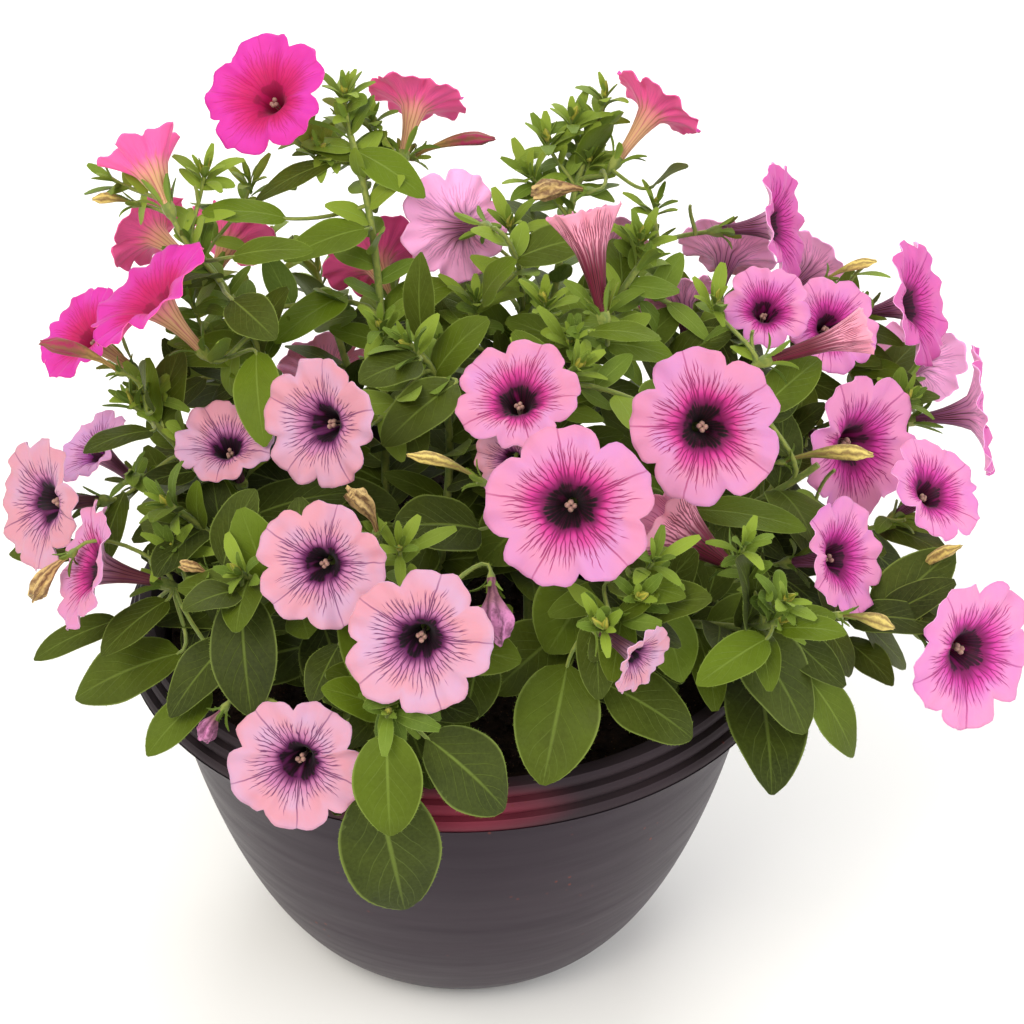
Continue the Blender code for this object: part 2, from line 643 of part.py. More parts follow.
# ---------------------------------------------------------------- leaves
def leaf_mesh(leaf, grow=0.0):
    """Solid blade with an ovate outline, on a stalk that is sunk in its stem.

    Three points ring the blade at each station: left edge, midrib and right edge. The
    midrib stands proud of the flat underside, and the blade arches towards its tip.
    """
    root, base, tip, width, normal, arch = leaf
    along = tip - base
    length = along.length
    along = along / length
    face = across(along, normal)
    half = width / 2
    places, halves, rises = [root], [STALK_HALF], [1.6 * STALK_HALF]
    if (base - root).length > SHORT_STALK:
        places.append(base)
        halves.append(STALK_HALF)
        rises.append(1.6 * STALK_HALF)
    for share, wide in ((0.30, 0.92), (0.64, 0.94)):
        lift = arch * length * 4 * share * (1 - share)
        places.append(base + along * (length * share) + face * lift)
        halves.append(half * wide)
        rises.append(BLADE_THICKNESS)
    places.append(base + along * (length + grow))
    points = []
    for index, (wide, rise) in enumerate(zip(halves, rises)):
        heading = tangent(places, index)
        up = across(heading, normal)
        side = heading.cross(up)
        low = places[index] - up * (rise / 2 + grow)
        points += [low - side * (wide + grow), places[index] + up * (rise / 2 + grow), low + side * (wide + grow)]
    points.append(places[-1])
    last = len(points) - 1
    faces = [(0, 1, 2)]
    for row in range(0, last - 3, 3):
        for k in range(3):
            after = (k + 1) % 3
            faces += [(row + k, row + 3 + k, row + after), (row + after, row + 3 + k, row + 3 + after)]
    row = last - 3
    faces += [(row, last, row + 1), (row + 1, last, row + 2), (row + 2, last, row)]
    return points, faces


def stands_before(points, mouth, way, reach, radius):
    """True where a point lies ahead of a place, within a round column."""
    for point in points:
        offset = point - mouth
        ahead = offset.dot(way)
        if -2 * MM < ahead < reach and (offset - way * ahead).length < radius:
            return True
    return False


def hides_a_face(points):
    """True where a leaf would stand before a flower: ahead of its open face, or between
    it and someone who looks down at the basket from the front.
    """
    glance = facing(0, GLANCE_LIFT)
    for _, mouth, azimuth, elevation, width, _, _ in FLOWERS:
        centre = Vector(mouth) * CM
        if stands_before(points[3:], centre, facing(azimuth, elevation), FACE_REACH, FACE_SHARE * width * CM):
            return True
        if stands_before(points[3:], centre, glance, GLANCE_REACH, GLANCE_SHARE * width * CM):
            return True
    return False


def lit_side(place):
    """Way that the upper face of a leaf turns: up, and to the front or the back."""
    outward = Vector((place.x, place.y, 0)).normalized()
    front = min(max((BACK_LIGHT - place.y) / (BACK_LIGHT - FRONT_LIGHT), 0), 1)
    return Vector((0.3 * outward.x, 0.6 * outward.y * (1 - front) - 0.4 * front, 0.9))


def nearest_on(paths, point):
    """Nearest place to a point on any of a stem's paths."""
    best, found = None, None
    for path in paths:
        for start, end in zip(path, path[1:]):
            line = end - start
            share = min(max((point - start).dot(line) / line.length_squared, 0), 1)
            place = start + line * share
            gap = (place - point).length
            if best is None or gap < best:
                best, found = gap, place
    return found


def try_leaf(clearance, node, leaf, by_rule=False):
    """Mesh of a leaf, or None where it would cross another piece.

    A leaf that grows by rule may not hide a flower either.
    """
    points, faces = leaf_mesh(leaf, 2 * GAP)
    if clearance.meets(points, faces, node) or (by_rule and hides_a_face(points)):
        return None
    first = len(points) - BLADE_POINTS
    blade = points[first:]
    rest = [tuple(i - first for i in face) for face in faces if min(face) >= first]
    if clearance.meets(blade, rest, node, own=True):
        return None
    clearance.add(node, points, faces)
    return leaf_mesh(leaf)


def plan_large_leaves(clearance, plans):
    """Leaves with a place of their own, tipped a little where they need room."""
    for index, (name, base, tip, width) in enumerate(LEAVES):
        plan = plans[name]
        draw = random.Random(500 + index)
        base, tip = Vector(base) * CM, Vector(tip) * CM
        root = nearest_on([plan["main"][1:]] + plan["shoots"], base)
        for attempt in range(LEAF_TRIES):
            shift = Vector([draw.uniform(-1, 1) for _ in range(3)]) * attempt * 1.6 * MM
            end = tip + shift
            leaf = (root, base + shift * 0.4, end, width * CM, lit_side(base), 0.07)
            made = try_leaf(clearance, f"leafy_stem_{name}", leaf)
            if made:
                plan["leaves"].append(made)
                break
        else:
            print("leaf", index, name, LEAVES[index][2], "finds no room")


def plan_small_leaves(clearance, plans):
    """Leaves by rule: pairs along each main stem and single ones along its shoots."""
    for name, plan in plans.items():
        paths = [plan["main"][1:]] + plan["shoots"]
        for number, path in enumerate(paths):
            length = sum((end - start).length for start, end in zip(path, path[1:]))
            spacing = SINGLE_SPACING if number else PAIR_SPACING
            sites = int(length / spacing + 0.4)
            for site in range(sites):
                for pair in (0, 1) if number == 0 else (site % 2,):
                    draw = random.Random(f"{name}{number}.{site}.{pair}")
                    place_leaf(clearance, name, plan, path, (site + 0.7) / (sites + 0.2), site, pair, draw)


def place_leaf(clearance, name, plan, path, share, site, pair, draw):
    """One leaf of a pair, turned and shortened until it stands clear."""
    spot = share * (len(path) - 1)
    index = min(int(spot), len(path) - 2)
    root = path[index].lerp(path[index + 1], spot - index)
    along = tangent(path, index)
    height = min((root.z - SOIL_TOP) / LEAFY_HEIGHT, 1.0)
    for attempt in range(LEAF_TRIES):
        turn = math.radians(90 * (site % 2) + 180 * pair + draw.uniform(-40, 40))
        length = (LEAF_LONG + (LEAF_SHORT - LEAF_LONG) * height) * draw.uniform(0.85, 1.15)
        length *= 1 - 0.05 * attempt
        ratio = draw.uniform(0.50, 0.64)
        lean = draw.uniform(0.0, 0.5)
        side = across(along, Vector((1, 0.2, 0)))
        over = along.cross(side)
        outward = Vector((root.x, root.y, 0)) * (5.0 * height + 0.8 * attempt)
        heading = (side * math.cos(turn) + over * math.sin(turn) + along * lean + outward).normalized()
        tip = root + heading * length
        if tip.z < POT_HEIGHT + 4 * MM and math.hypot(tip.x, tip.y) > RIM_INNER_RADIUS - 10 * MM:
            continue
        leaf = (root, root, tip, length * ratio, lit_side(root), 0.08)
        made = try_leaf(clearance, f"leafy_stem_{name}", leaf, by_rule=True)
        if made:
            plan["leaves"].append(made)
            return


# ---------------------------------------------------------------- fused leafy stems
def tube(name, points, radii, collection):
    """Round stem along a path, as a mesh with its caps welded."""
    curve = bpy.data.curves.new(name, "CURVE")
    curve.dimensions = "3D"
    curve.bevel_depth = MM
    curve.bevel_resolution = 0
    curve.use_fill_caps = True
    spline = curve.splines.new("POLY")
    spline.points.add(len(points) - 1)
    for knot, place, radius in zip(spline.points, points, radii):
        knot.co = (*place, 1.0)
        knot.radius = float(radius)
    guide = bpy.data.objects.new(name + "_path", curve)
    collection.objects.link(guide)
    reading = bpy.context.evaluated_depsgraph_get()
    mesh = bpy.data.meshes.new_from_object(guide.evaluated_get(reading))
    made = bpy.data.objects.new(name, mesh)
    made.matrix_world = guide.matrix_world
    collection.objects.link(made)
    bpy.data.objects.remove(guide)
    shape = bmesh.new()
    shape.from_mesh(mesh)
    bmesh.ops.remove_doubles(shape, verts=shape.verts, dist=0.001 * MM)
    bmesh.ops.recalc_face_normals(shape, faces=shape.faces)
    shape.to_mesh(mesh)
    shape.free()
    return made


def make_leafy_stem(name, plan, parts):
    """Main stem, side shoots, calyces and leaves, fused into one body."""
    node = f"leafy_stem_{name}"
    repeats = new_collection(node + "_repeats")
    stem = tube(node, plan["main"], spread(MAIN_RADIUS, len(plan["main"])), parts)
    for number, path in enumerate(plan["shoots"]):
        tube(f"{node}_shoot_{number}", path, spread(SHOOT_RADIUS, len(path)), repeats)
    shapes = [calyx_mesh(flower) for flower in plan["flowers"]] + plan["leaves"]
    for number, (points, faces) in enumerate(shapes):
        face_outwards(mesh_object(f"{node}_repeat_{number}", points, faces, repeats))
    boolean = stem.modifiers.new("fuse", "BOOLEAN")
    boolean.operation = "UNION"
    boolean.operand_type = "COLLECTION"
    boolean.collection = repeats
    boolean.solver = "MANIFOLD"
    reading = bpy.context.evaluated_depsgraph_get()
    fused = bpy.data.meshes.new_from_object(stem.evaluated_get(reading))
    stem.modifiers.clear()
    stem.data = fused
    for repeat in list(repeats.objects):
        bpy.data.objects.remove(repeat, do_unlink=True)
    bpy.data.collections.remove(repeats)
    stem.data.materials.clear()
    stem.data.materials.append(material("green"))
    return stem


def add_outline(clearance, thing):
    """Let an object that is already made count as placed."""
    reading = bpy.context.evaluated_depsgraph_get()
    mesh = thing.evaluated_get(reading).to_mesh()
    points = [vertex.co.copy() for vertex in mesh.vertices]
    clearance.add(thing.name, points, [tuple(face.vertices) for face in mesh.polygons])


def main():
    clear_scene()
    parts = new_collection(OBJECT_NAME)
    clearance = Clearance()
    add_outline(clearance, make_pot(parts))
    make_soil(parts)
    sheets = plan_flowers(clearance)
    plans = plan_stems(clearance)
    plan_large_leaves(clearance, plans)
    plan_small_leaves(clearance, plans)
    for sheet, flower in zip(sheets, FLOWERS):
        make_flower(sheet, flower[6], parts)
    for name, plan in plans.items():
        make_leafy_stem(name, plan, parts)


main()
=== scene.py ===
"""Petunia basket, dressed: a dark moulded bowl full of soil, leafy stems and veined trumpets.

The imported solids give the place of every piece. Each leafy stem and each flower is drawn
again here along the same routes, with finer surfaces and procedural finishes.
"""
import logging
import math
import random
from collections.abc import Iterable, Sequence
from dataclasses import dataclass, field
from enum import Enum, IntEnum

import bmesh
import bpy
import numpy as np
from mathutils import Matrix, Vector
from mathutils.kdtree import KDTree


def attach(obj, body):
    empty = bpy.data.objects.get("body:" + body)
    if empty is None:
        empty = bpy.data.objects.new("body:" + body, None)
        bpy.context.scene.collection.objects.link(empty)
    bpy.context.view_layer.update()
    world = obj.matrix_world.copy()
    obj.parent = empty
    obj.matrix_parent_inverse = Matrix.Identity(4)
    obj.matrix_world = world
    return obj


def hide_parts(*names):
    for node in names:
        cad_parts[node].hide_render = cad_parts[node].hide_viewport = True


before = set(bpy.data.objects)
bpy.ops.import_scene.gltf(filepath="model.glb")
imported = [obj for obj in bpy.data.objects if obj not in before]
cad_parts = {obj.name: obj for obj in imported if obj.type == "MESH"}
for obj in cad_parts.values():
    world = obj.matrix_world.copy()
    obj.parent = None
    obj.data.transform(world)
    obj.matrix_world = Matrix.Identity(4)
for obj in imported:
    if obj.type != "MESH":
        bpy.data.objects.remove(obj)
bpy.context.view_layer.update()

LOG = logging.getLogger("petunia_basket")
Array = np.ndarray
Path = Sequence[Vector]
Piece = bpy.types.Object
Material = bpy.types.Material
Socket = bpy.types.NodeSocket
Feed = Socket | float | tuple | str | None

CM = 0.01
MM = 0.001
UP = Vector((0, 0, 1))
FRONT_UP = Vector((0, -0.5, 1))
PETALS = 5
GOLDEN = math.radians(137.5)

# A hair is a spike: the radius of its foot, its colour's random number and the corners of its faces
HAIR = 0.07 * MM
HAIR_TONE = 0.8
SPIKE = ((0, 1, 3), (1, 2, 3), (2, 0, 3), (2, 1, 0))

# Directions that no hair and no stem lies along, to square their frames against
HAIR_GUIDE = (0.37, 0.21, 0.90)
ASKEW = (0.31, 0.91, 0.13)


class Colour(Enum):
    """Colour group of a flower, each with a slot name."""

    HOT = "petal_hot_pink"
    MAGENTA = "petal_magenta"
    PINK = "petal_pink"
    PALE = "petal_pale_pink"
    MAUVE = "petal_mauve"
    FADED = "petal_faded"


class Green(IntEnum):
    """Material slots of a leafy stem, in order."""

    STEM = 0
    LEAF = 1
    YOUNG = 2
    BUD = 3
    WILTED = 4
    CRIMSON = 5
    FOLDED = 6
    SHUT = 7




def rows_of(text: str) -> list[list]:
    """Rows of a table: a list for each line, with every word that reads as a number made one."""
    return [[float(word) if word[-1].isdigit() else word for word in line.split()]
            for line in text.strip().splitlines()]


# Leafy stems, as in the solids: name, root x and y, tip x, y and z, in centimetres
STEMS = {name: (places[:2], places[2:]) for name, *places in rows_of("""
a -3.5 4.5 -5 9.5 36
b -7 2.5 -11.5 4.5 32.5
c -9 -1.5 -14 0.5 27
d -7.5 -5 -12 -5 25.5
e -4.5 -7.5 -8.5 -10 25.5
f -1 -9 -2.5 -15.5 23.5
g -1 -2.5 -2 -0.5 30.5
h 3 -1.5 5 -1.5 30
i 4 -8 6 -13 25.5
j 8 -5 13 -10.5 23.5
k 9.5 0 15.5 -0.5 24.5
l 8.5 4.5 18 9 26.5
m 4 3.5 8 5 31.5
n 0.5 5 3 8 27.5
o -4.5 9 -7 14 26
p 3.5 9 6 13 34
q 7.5 8.5 12 15 22.5
""")}

# Flowers, as in the solids: stem, mouth x, y and z in centimetres, azimuth (0 is -Y, 90 is
# +X) and elevation in degrees, width and depth in centimetres, colour group
FLOWERS = rows_of("""
a -8.4 9 37.5 -27 47 5.6 3.2 HOT
a -2 13 35.5 165 40 4.6 3 HOT
b -13.6 6.5 36.3 -147 42 3.3 3.2 HOT
b -14.2 10 30.4 -130 15 4.4 3 HOT
a -10.6 12 29.1 160 25 4.6 3 HOT
b -13 1 32.1 -90 53 6.2 3.6 HOT
b -16.5 3.5 28.8 -64 48 4.6 3.2 HOT
n -0.3 9 31.1 -150 -23 5.2 3.2 MAUVE
n -4.1 11 28.5 -160 18 5 3 HOT
p 8.9 13 35.2 133 38 4.7 3.4 HOT
m 5.3 3 34.9 -158 60 2.8 4.6 FADED
m 14.6 10 30.7 72 16 5.6 3.2 MAGENTA
p 12.5 13.5 27.5 165 30 4.8 3 MAGENTA
m 13.5 5 29.2 10 58 4 3 MAGENTA
q 17 15.5 25.5 130 20 4.6 2.8 MAGENTA
k 17.5 2 29.8 98 16 1.9 4.6 FADED
l 21 9.5 26.9 69 24 6 3.2 MAGENTA
l 23.8 6 23.2 84 12 6.2 3.4 MAGENTA
l 22.2 14 21.3 153 0 4.8 2.8 MAGENTA
k 17.8 2.5 23.5 40 14 6.6 3.4 MAGENTA
k 20.8 0 22.9 50 50 4.8 3 MAGENTA
j 16.3 -5 22.8 54 28 5 3 MAGENTA
j 8.2 -6 25.7 -106 32 4.2 4 MAUVE
j 21.6 -8 19.9 35 14 6.6 3.4 MAGENTA
h 10 -7 30.5 5 32 6.2 3.4 PINK
i 4.5 -12 30 -4 30 6.4 3.5 PINK
h 2.5 -6 31.4 -12 62 5 3 PINK
g 2.1 -6.5 28.5 -38 22 3.2 2.6 PALE
g -5.5 -6 30 -38 25 5.4 3.2 PALE
e -5 -13 28 -6 30 5 3 PALE
f -1.2 -16 26.6 -4 24 5.6 3.2 PALE
f -6 -17 21.5 -8 26 5.3 3.2 PALE
i 7.3 -14.5 24.6 45 -8 3 2.4 PALE
d -9.8 -2 26.7 -26 70 4.4 3 PALE
c -16.4 3 23.2 -74 51 3.9 3 MAUVE
c -18 -2 23.5 -54 19 5.9 3.2 PALE
d -15.3 -7 23.8 -76 25 5.4 3.6 PINK
o -6.9 13 21.2 -160 15 4.8 3 MAUVE
p 6.8 18 25.4 172 30 5.2 3.2 PINK
l 16.6 6 27.7 20 41 4.4 3 MAGENTA
m 9.8 8 28.2 -164 43 4.2 3 MAUVE
""")

# Large leaves, as in the solids: stem, base and tip in centimetres, width in centimetres
LEAVES = rows_of("""
f -3 -16.8 20.5 -2 -17 14 4
f -2.5 -17 23 -2.5 -18.5 19 2.7
f -1 -16 22 2 -16.5 18.8 3.2
f -2.5 -15 22.5 -5 -15.5 24 1.8
i 4.5 -12 22.5 3.5 -15.5 19.2 3.4
i 6 -12 21.5 9.5 -13 19.5 2.9
e -8.5 -10 24.5 -8 -13.5 21 2.8
e -9 -9.5 22 -11.5 -12 19.8 2.2
d -11.5 -8 20 -16 -8.5 18 2.9
d -10 -10.5 20 -12.5 -12.5 18.2 1.9
e -8.5 -10.5 25 -10.5 -12.5 25.5 1.7
j 12.5 -6.5 18.5 12.8 -13.5 17 3.6
j 14 -9.5 20.5 16.5 -10.5 16.5 2.2
j 12.5 -11 23 9.5 -14 23 1.8
j 13 -11 23.5 15.5 -12 24 1.3
c -16.6 -0.6 20 -19.9 -0.5 19.8 1.6
d -14.5 -5 19.5 -18 -6.5 18.5 1.6
d -12 -7 22 -14.5 -9.5 21 1.8
d -9.5 -7.5 24 -8 -7 27.5 2.4
c -13 0 27 -13 -1 30 1.4
c -13 -1 26.5 -15.5 -3.5 27 1.5
b -8.5 0.5 29.5 -8 -3 27 2.1
b -9.5 1.5 31.5 -7.5 -1 31 2
b -9.5 2.5 33 -6 1.5 33.8 1.4
a -7.5 6 33 -11 5 33.8 1.5
a -4 6 32.5 -7.5 4 32 2
a -5.5 8.5 34.5 -9 7.5 33 1.3
a -4.5 8.5 35 -1.5 7 33.5 1.8
g -1.5 1.5 29.5 -1.5 2 33.5 1.5
g -1.5 -1 30 -4 -2.5 29.8 2.3
g 0 -2 29.5 -3 -4.5 28 2.3
a -5 5.5 29.5 -8 3 28.5 2
g 1 -5.5 24.5 -2.5 -7.5 26 3
i 4.5 -9 22 1.5 -12 21 3
h 4 -3 24 7.5 -5 22.5 3.2
h 3.5 -2.5 23.5 1 -5 22.5 3
e -5.5 -8 21.5 -4 -12 20 3
g -1 -3 22 -4.5 -5.5 22 3.2
e -4.5 -12 23.5 -5.5 -14.5 22.5 1.6
f 1 -12 23 0.5 -14.5 21.5 2.2
p 8.5 9 33 10 8 34.5 1.5
m 5.5 0.5 30.5 8.5 -1 31 1.2
k 18 -2 20 19.5 -3.5 18 1.7
k 16.5 -5 18.5 18.5 -7 17.5 1.7
i 6 -12 26.5 9 -13 26.5 1.6
k 10 -4 24.5 14.5 -5.5 24.5 1.7
n 1 5 29.5 2.5 4 32 1.9
o -8.5 10.5 22 -13.5 12 20.5 3
o -4.5 10.5 20.5 -3 15.5 18.6 3
o -4 10.5 22.5 -0.5 14 21.5 3
p 3.5 11.5 21 1.5 16.5 19 3.4
p 4.5 12 22 6 17 19.5 3.2
q 9 11.5 20.5 10 15.5 18 3.2
q 10.5 11.5 21.5 15 13 19.5 3
l 12.5 6.5 21.5 17 7 19.5 3
b -9.5 4 22.5 -14.5 5 21 3
b -9.5 6.5 24 -14 8.5 23 2.8
m 4 3 29 6.5 1 30 1.7
i 5.6 -7.5 23.2 3.7 -11 22.3 3.4
i 8 -10 24.2 9.1 -12 21.6 2.3
""")

# Young tips: x, y and z in centimetres, lean azimuth and elevation in degrees, whether it buds
SPRIGS = rows_of("""
-5 9.5 37.4 20 80 bud
-6.2 9 34.8 10 80 bud
-10.9 6 35.2 30 75 bud
-15 6.5 34.7 -70 45 bare
-3.9 11 35.4 30 75 bare
3.9 12 33.9 -20 80 bud
5 12.5 34.7 0 82 bud
6.5 13 35.6 10 85 bud
3.1 11.5 32.4 -50 60 bare
5.8 12 32.9 10 80 bud
8.7 9 32.1 30 75 bud
7.9 6 32 10 70 bud
11 3 30.6 10 65 bud
12.6 2 29.7 20 60 bud
18 8 29.5 75 45 bud
10.4 11 31.1 20 75 bud
2.2 9 31.1 -30 70 bud
-3.4 3 29.4 -20 75 bud
-0.8 3 28.4 -10 75 bud
3.7 3 30.6 -20 75 bud
4.8 1 29.8 10 70 bud
3.5 -1 29.3 -10 65 bud
6.1 3 30.2 20 70 bud
-11.7 4 30.1 -40 65 bare
-13.4 1 27.2 -30 65 bud
-11.4 -1 26.5 -20 65 bud
-11.8 -6 23.9 -20 60 bud
-14.3 0 23.9 -40 55 bare
-2.1 -10.5 27.1 10 60 bud
7.2 -13 26.5 5 45 bud
5.8 -14 25.8 -10 50 bud
13.2 -10.5 24.6 30 55 bud
7.8 -12 27.6 20 60 bare
11.5 -10 26.9 30 60 bare
-2.4 -16.5 23.7 -5 45 bud
-1.7 -16 24.3 5 60 bud
-6.2 -9 24.7 -10 60 bare
19.6 0 21.3 60 40 bare
16.3 0 23.9 50 50 bare
20 5 24.4 60 50 bud
-9.3 9 33.4 0 80 bare
0.7 6 29 0 80 bare
-9 14 28.5 150 60 bud
1 16 28 180 60 bud
9 17 26 160 50 bud
16 14 24 120 50 bud
""")

# Shut and spent flowers: kind, foot and tip in centimetres, width in millimetres
SPENT = rows_of("""
CRIMSON -14.3 0.2 28.7 -17.4 -0.4 30.5 6.5
CRIMSON -2.2 11.8 33.1 1.5 11 34.4 6
FOLDED 1.5 -12 26.7 1.7 -14 25.2 12
WILTED 5.7 8.5 33.1 3.3 8 33.2 8
SHUT 1.1 -7.5 28.2 -1.8 -8 29.8 5
WILTED -15.9 -6 23.7 -17.7 -6.2 21.6 7
WILTED -9.9 -8.5 24.3 -11 -8.8 25.1 4
SHUT -14 6 33.7 -15.7 5.5 34.2 4.5
FOLDED -9.1 -13 21.1 -10 -13.6 20 7
WILTED -3 -10 27.4 -3.9 -10.8 29.9 7
SHUT 14 0 24.3 17.7 -1 25.3 6.5
SHUT 16.3 8 28.8 18.5 7.5 30.1 4.5
SHUT 19.3 -3 19.6 21.2 -4.5 23 5
SHUT 15.6 -9 22.7 17.7 -10 22.8 6
""")


# ---------------------------------------------------------------- geometry in words and arrays
def facing(azimuth: float, elevation: float) -> Vector:
    """Unit vector: azimuth 0 points to -Y and 90 to +X, elevation lifts it to +Z.

    Args:
        azimuth: turn about Z in degrees.
        elevation: angle above the level in degrees.

    Returns:
        The direction.
    """
    turn, lift = math.radians(azimuth), math.radians(elevation)
    return Vector((math.sin(turn) * math.cos(lift), -math.cos(turn) * math.cos(lift), math.sin(lift)))


def across(axis: Vector, guide: Vector) -> Vector:
    """Part of a guide that is square to a unit axis, as a unit vector."""
    square = guide - axis * guide.dot(axis)
    return (square if square.length > 1e-3 else axis.orthogonal()).normalized()


def turned(side: Vector, up: Vector, turn: float) -> Vector:
    """Direction at a turn in radians from one vector to another: side cos(turn) + up sin(turn)."""
    return side * math.cos(turn) + up * math.sin(turn)


def frame_of(axis: Vector, roll: float = 0.0) -> tuple[Vector, Vector]:
    """Two unit vectors square to an axis; the second leans upwards.

    Args:
        axis: unit vector.
        roll: turn about the axis in degrees.

    Returns:
        The side vector and the upper one.
    """
    up = across(axis, UP)
    side = up.cross(axis)
    turn = math.radians(roll)
    return turned(side, up, turn), turned(up, -side, turn)


def bezier(ends: Path, count: int) -> list[Vector]:
    """Points along a cubic curve: sum of its four ends by (1-t)^3, 3(1-t)^2 t, 3(1-t) t^2 and t^3.

    Args:
        ends: the four control points.
        count: how many points, both ends included.

    Returns:
        The points.
    """
    t = np.linspace(0.0, 1.0, count)[:, None]
    s = 1.0 - t
    poles = np.array(ends)
    rows = s ** 3 * poles[0] + 3 * s * s * t * poles[1] + 3 * s * t * t * poles[2] + t ** 3 * poles[3]
    return [Vector(row) for row in rows]


def tangent(points: Path, index: int) -> Vector:
    """Direction of a path at one of its points."""
    before, after = points[max(index - 1, 0)], points[min(index + 1, len(points) - 1)]
    return (after - before).normalized()


def path_length(points: Path) -> float:
    """Length of a path from point to point."""
    return sum((end - start).length for start, end in zip(points, points[1:]))


def place_on(path: Path, share: float) -> tuple[Vector, int]:
    """Place at a share of a path's points, and the number of the point before it."""
    spot = share * (len(path) - 1)
    index = min(int(spot), len(path) - 2)
    return path[index].lerp(path[index + 1], spot - index), index


def nearest_on(paths: Iterable[Path], point: Vector) -> Vector:
    """Nearest place to a point on any of several paths.

    Args:
        paths: lists of points.
        point: the place to start from.

    Returns:
        The nearest place on a path.
    """
    best, found = math.inf, point
    for path in paths:
        for start, end in zip(path, path[1:]):
            line = end - start
            place = start + line * min(max((point - start).dot(line) / line.length_squared, 0.0), 1.0)
            gap = (place - point).length
            if gap < best:
                best, found = gap, place
    return found


def smooth_step(low: float, high: float, value: Array) -> Array:
    """Eased step: 0 below low, 1 above high, 3t^2 - 2t^3 between them."""
    t = np.clip((value - low) / (high - low), 0.0, 1.0)
    return t * t * (3.0 - 2.0 * t)


def unit(rows: Array) -> Array:
    """Each row of an array of vectors divided by its length."""
    return rows / np.maximum(np.linalg.norm(rows, axis=-1, keepdims=True), 1e-12)


def round_angles(count: int) -> Array:
    """Equal angles round a full turn, in radians."""
    return np.linspace(0.0, math.tau, count, endpoint=False)


def sweep_frames(spine: Array, guide: Array) -> tuple[Array, Array]:
    """Side and upper vectors along a spine: the guide made square to each tangent, and their cross.

    Args:
        spine: points along the path, one a row.
        guide: the vector that the upper side turns to.

    Returns:
        The side vectors and the upper vectors, one a row each.
    """
    along = unit(np.gradient(spine, axis=0))
    upper = unit(guide - along * (along @ guide)[:, None])
    return np.cross(along, upper), upper


def arched(base: Vector, along: Array, lift: Array, rows: int) -> Array:
    """Spine of so many rows: base + s along + 4s(1-s) lift, at even shares s from 0 to 1."""
    s = np.linspace(0, 1, rows)[:, None]
    return np.array(base) + s * along + 4 * s * (1 - s) * lift


def bent(base: Vector, heading: Vector, over: Vector, length: float, start: float, end: float,
         rows: int) -> Array:
    """Spine that turns evenly: each step goes along cos(a) heading + sin(a) over.

    Args:
        base: where it starts.
        heading: direction at an angle of zero.
        over: direction that it turns towards.
        length: its length in metres.
        start: angle at its base in degrees.
        end: angle at its tip in degrees.
        rows: how many points.

    Returns:
        The points, one a row.
    """
    angle = np.radians(np.linspace(start, end, rows - 1))[:, None]
    steps = np.cos(angle) * np.array(heading) + np.sin(angle) * np.array(over)
    return np.array(base) + np.concatenate([np.zeros((1, 3)), np.cumsum(steps, 0)]) * length / (rows - 1)


def around(base: Vector, axis: Vector, roll: float, angle: Array, radius: Array, height: Array) -> Array:
    """Grid round an axis: base + radius (side cos a + up sin a) + height axis.

    Args:
        base: foot of the axis.
        axis: its direction.
        roll: turn of the side and upper vectors about it, in degrees.
        angle: angle a of each column.
        radius: radius at each point, rows by columns.
        height: height at each point, or one for each row.

    Returns:
        The points, rows by columns by 3.
    """
    side, up = frame_of(axis, roll)
    ring = np.cos(angle)[:, None] * np.array(side) + np.sin(angle)[:, None] * np.array(up)
    return np.array(base) + radius[..., None] * ring + height[..., None] * np.array(axis)


def tube_grid(path: Path, radii: Array, sides: int) -> Array:
    """Rings round a path: centre + radius (side cos a + upper sin a) at equal angles.

    Args:
        path: points of the centre line.
        radii: radius at each point, in metres.
        sides: points round each ring.

    Returns:
        Grid of ring points, rows by sides by 3.
    """
    spine = np.array(path)
    side, upper = sweep_frames(spine, unit(np.cross(unit(spine[-1] - spine[0]), ASKEW)))
    angle = round_angles(sides)
    ring = side[:, None] * np.cos(angle)[:, None] + upper[:, None] * np.sin(angle)[:, None]
    return spine[:, None] + ring * radii[:, None, None]


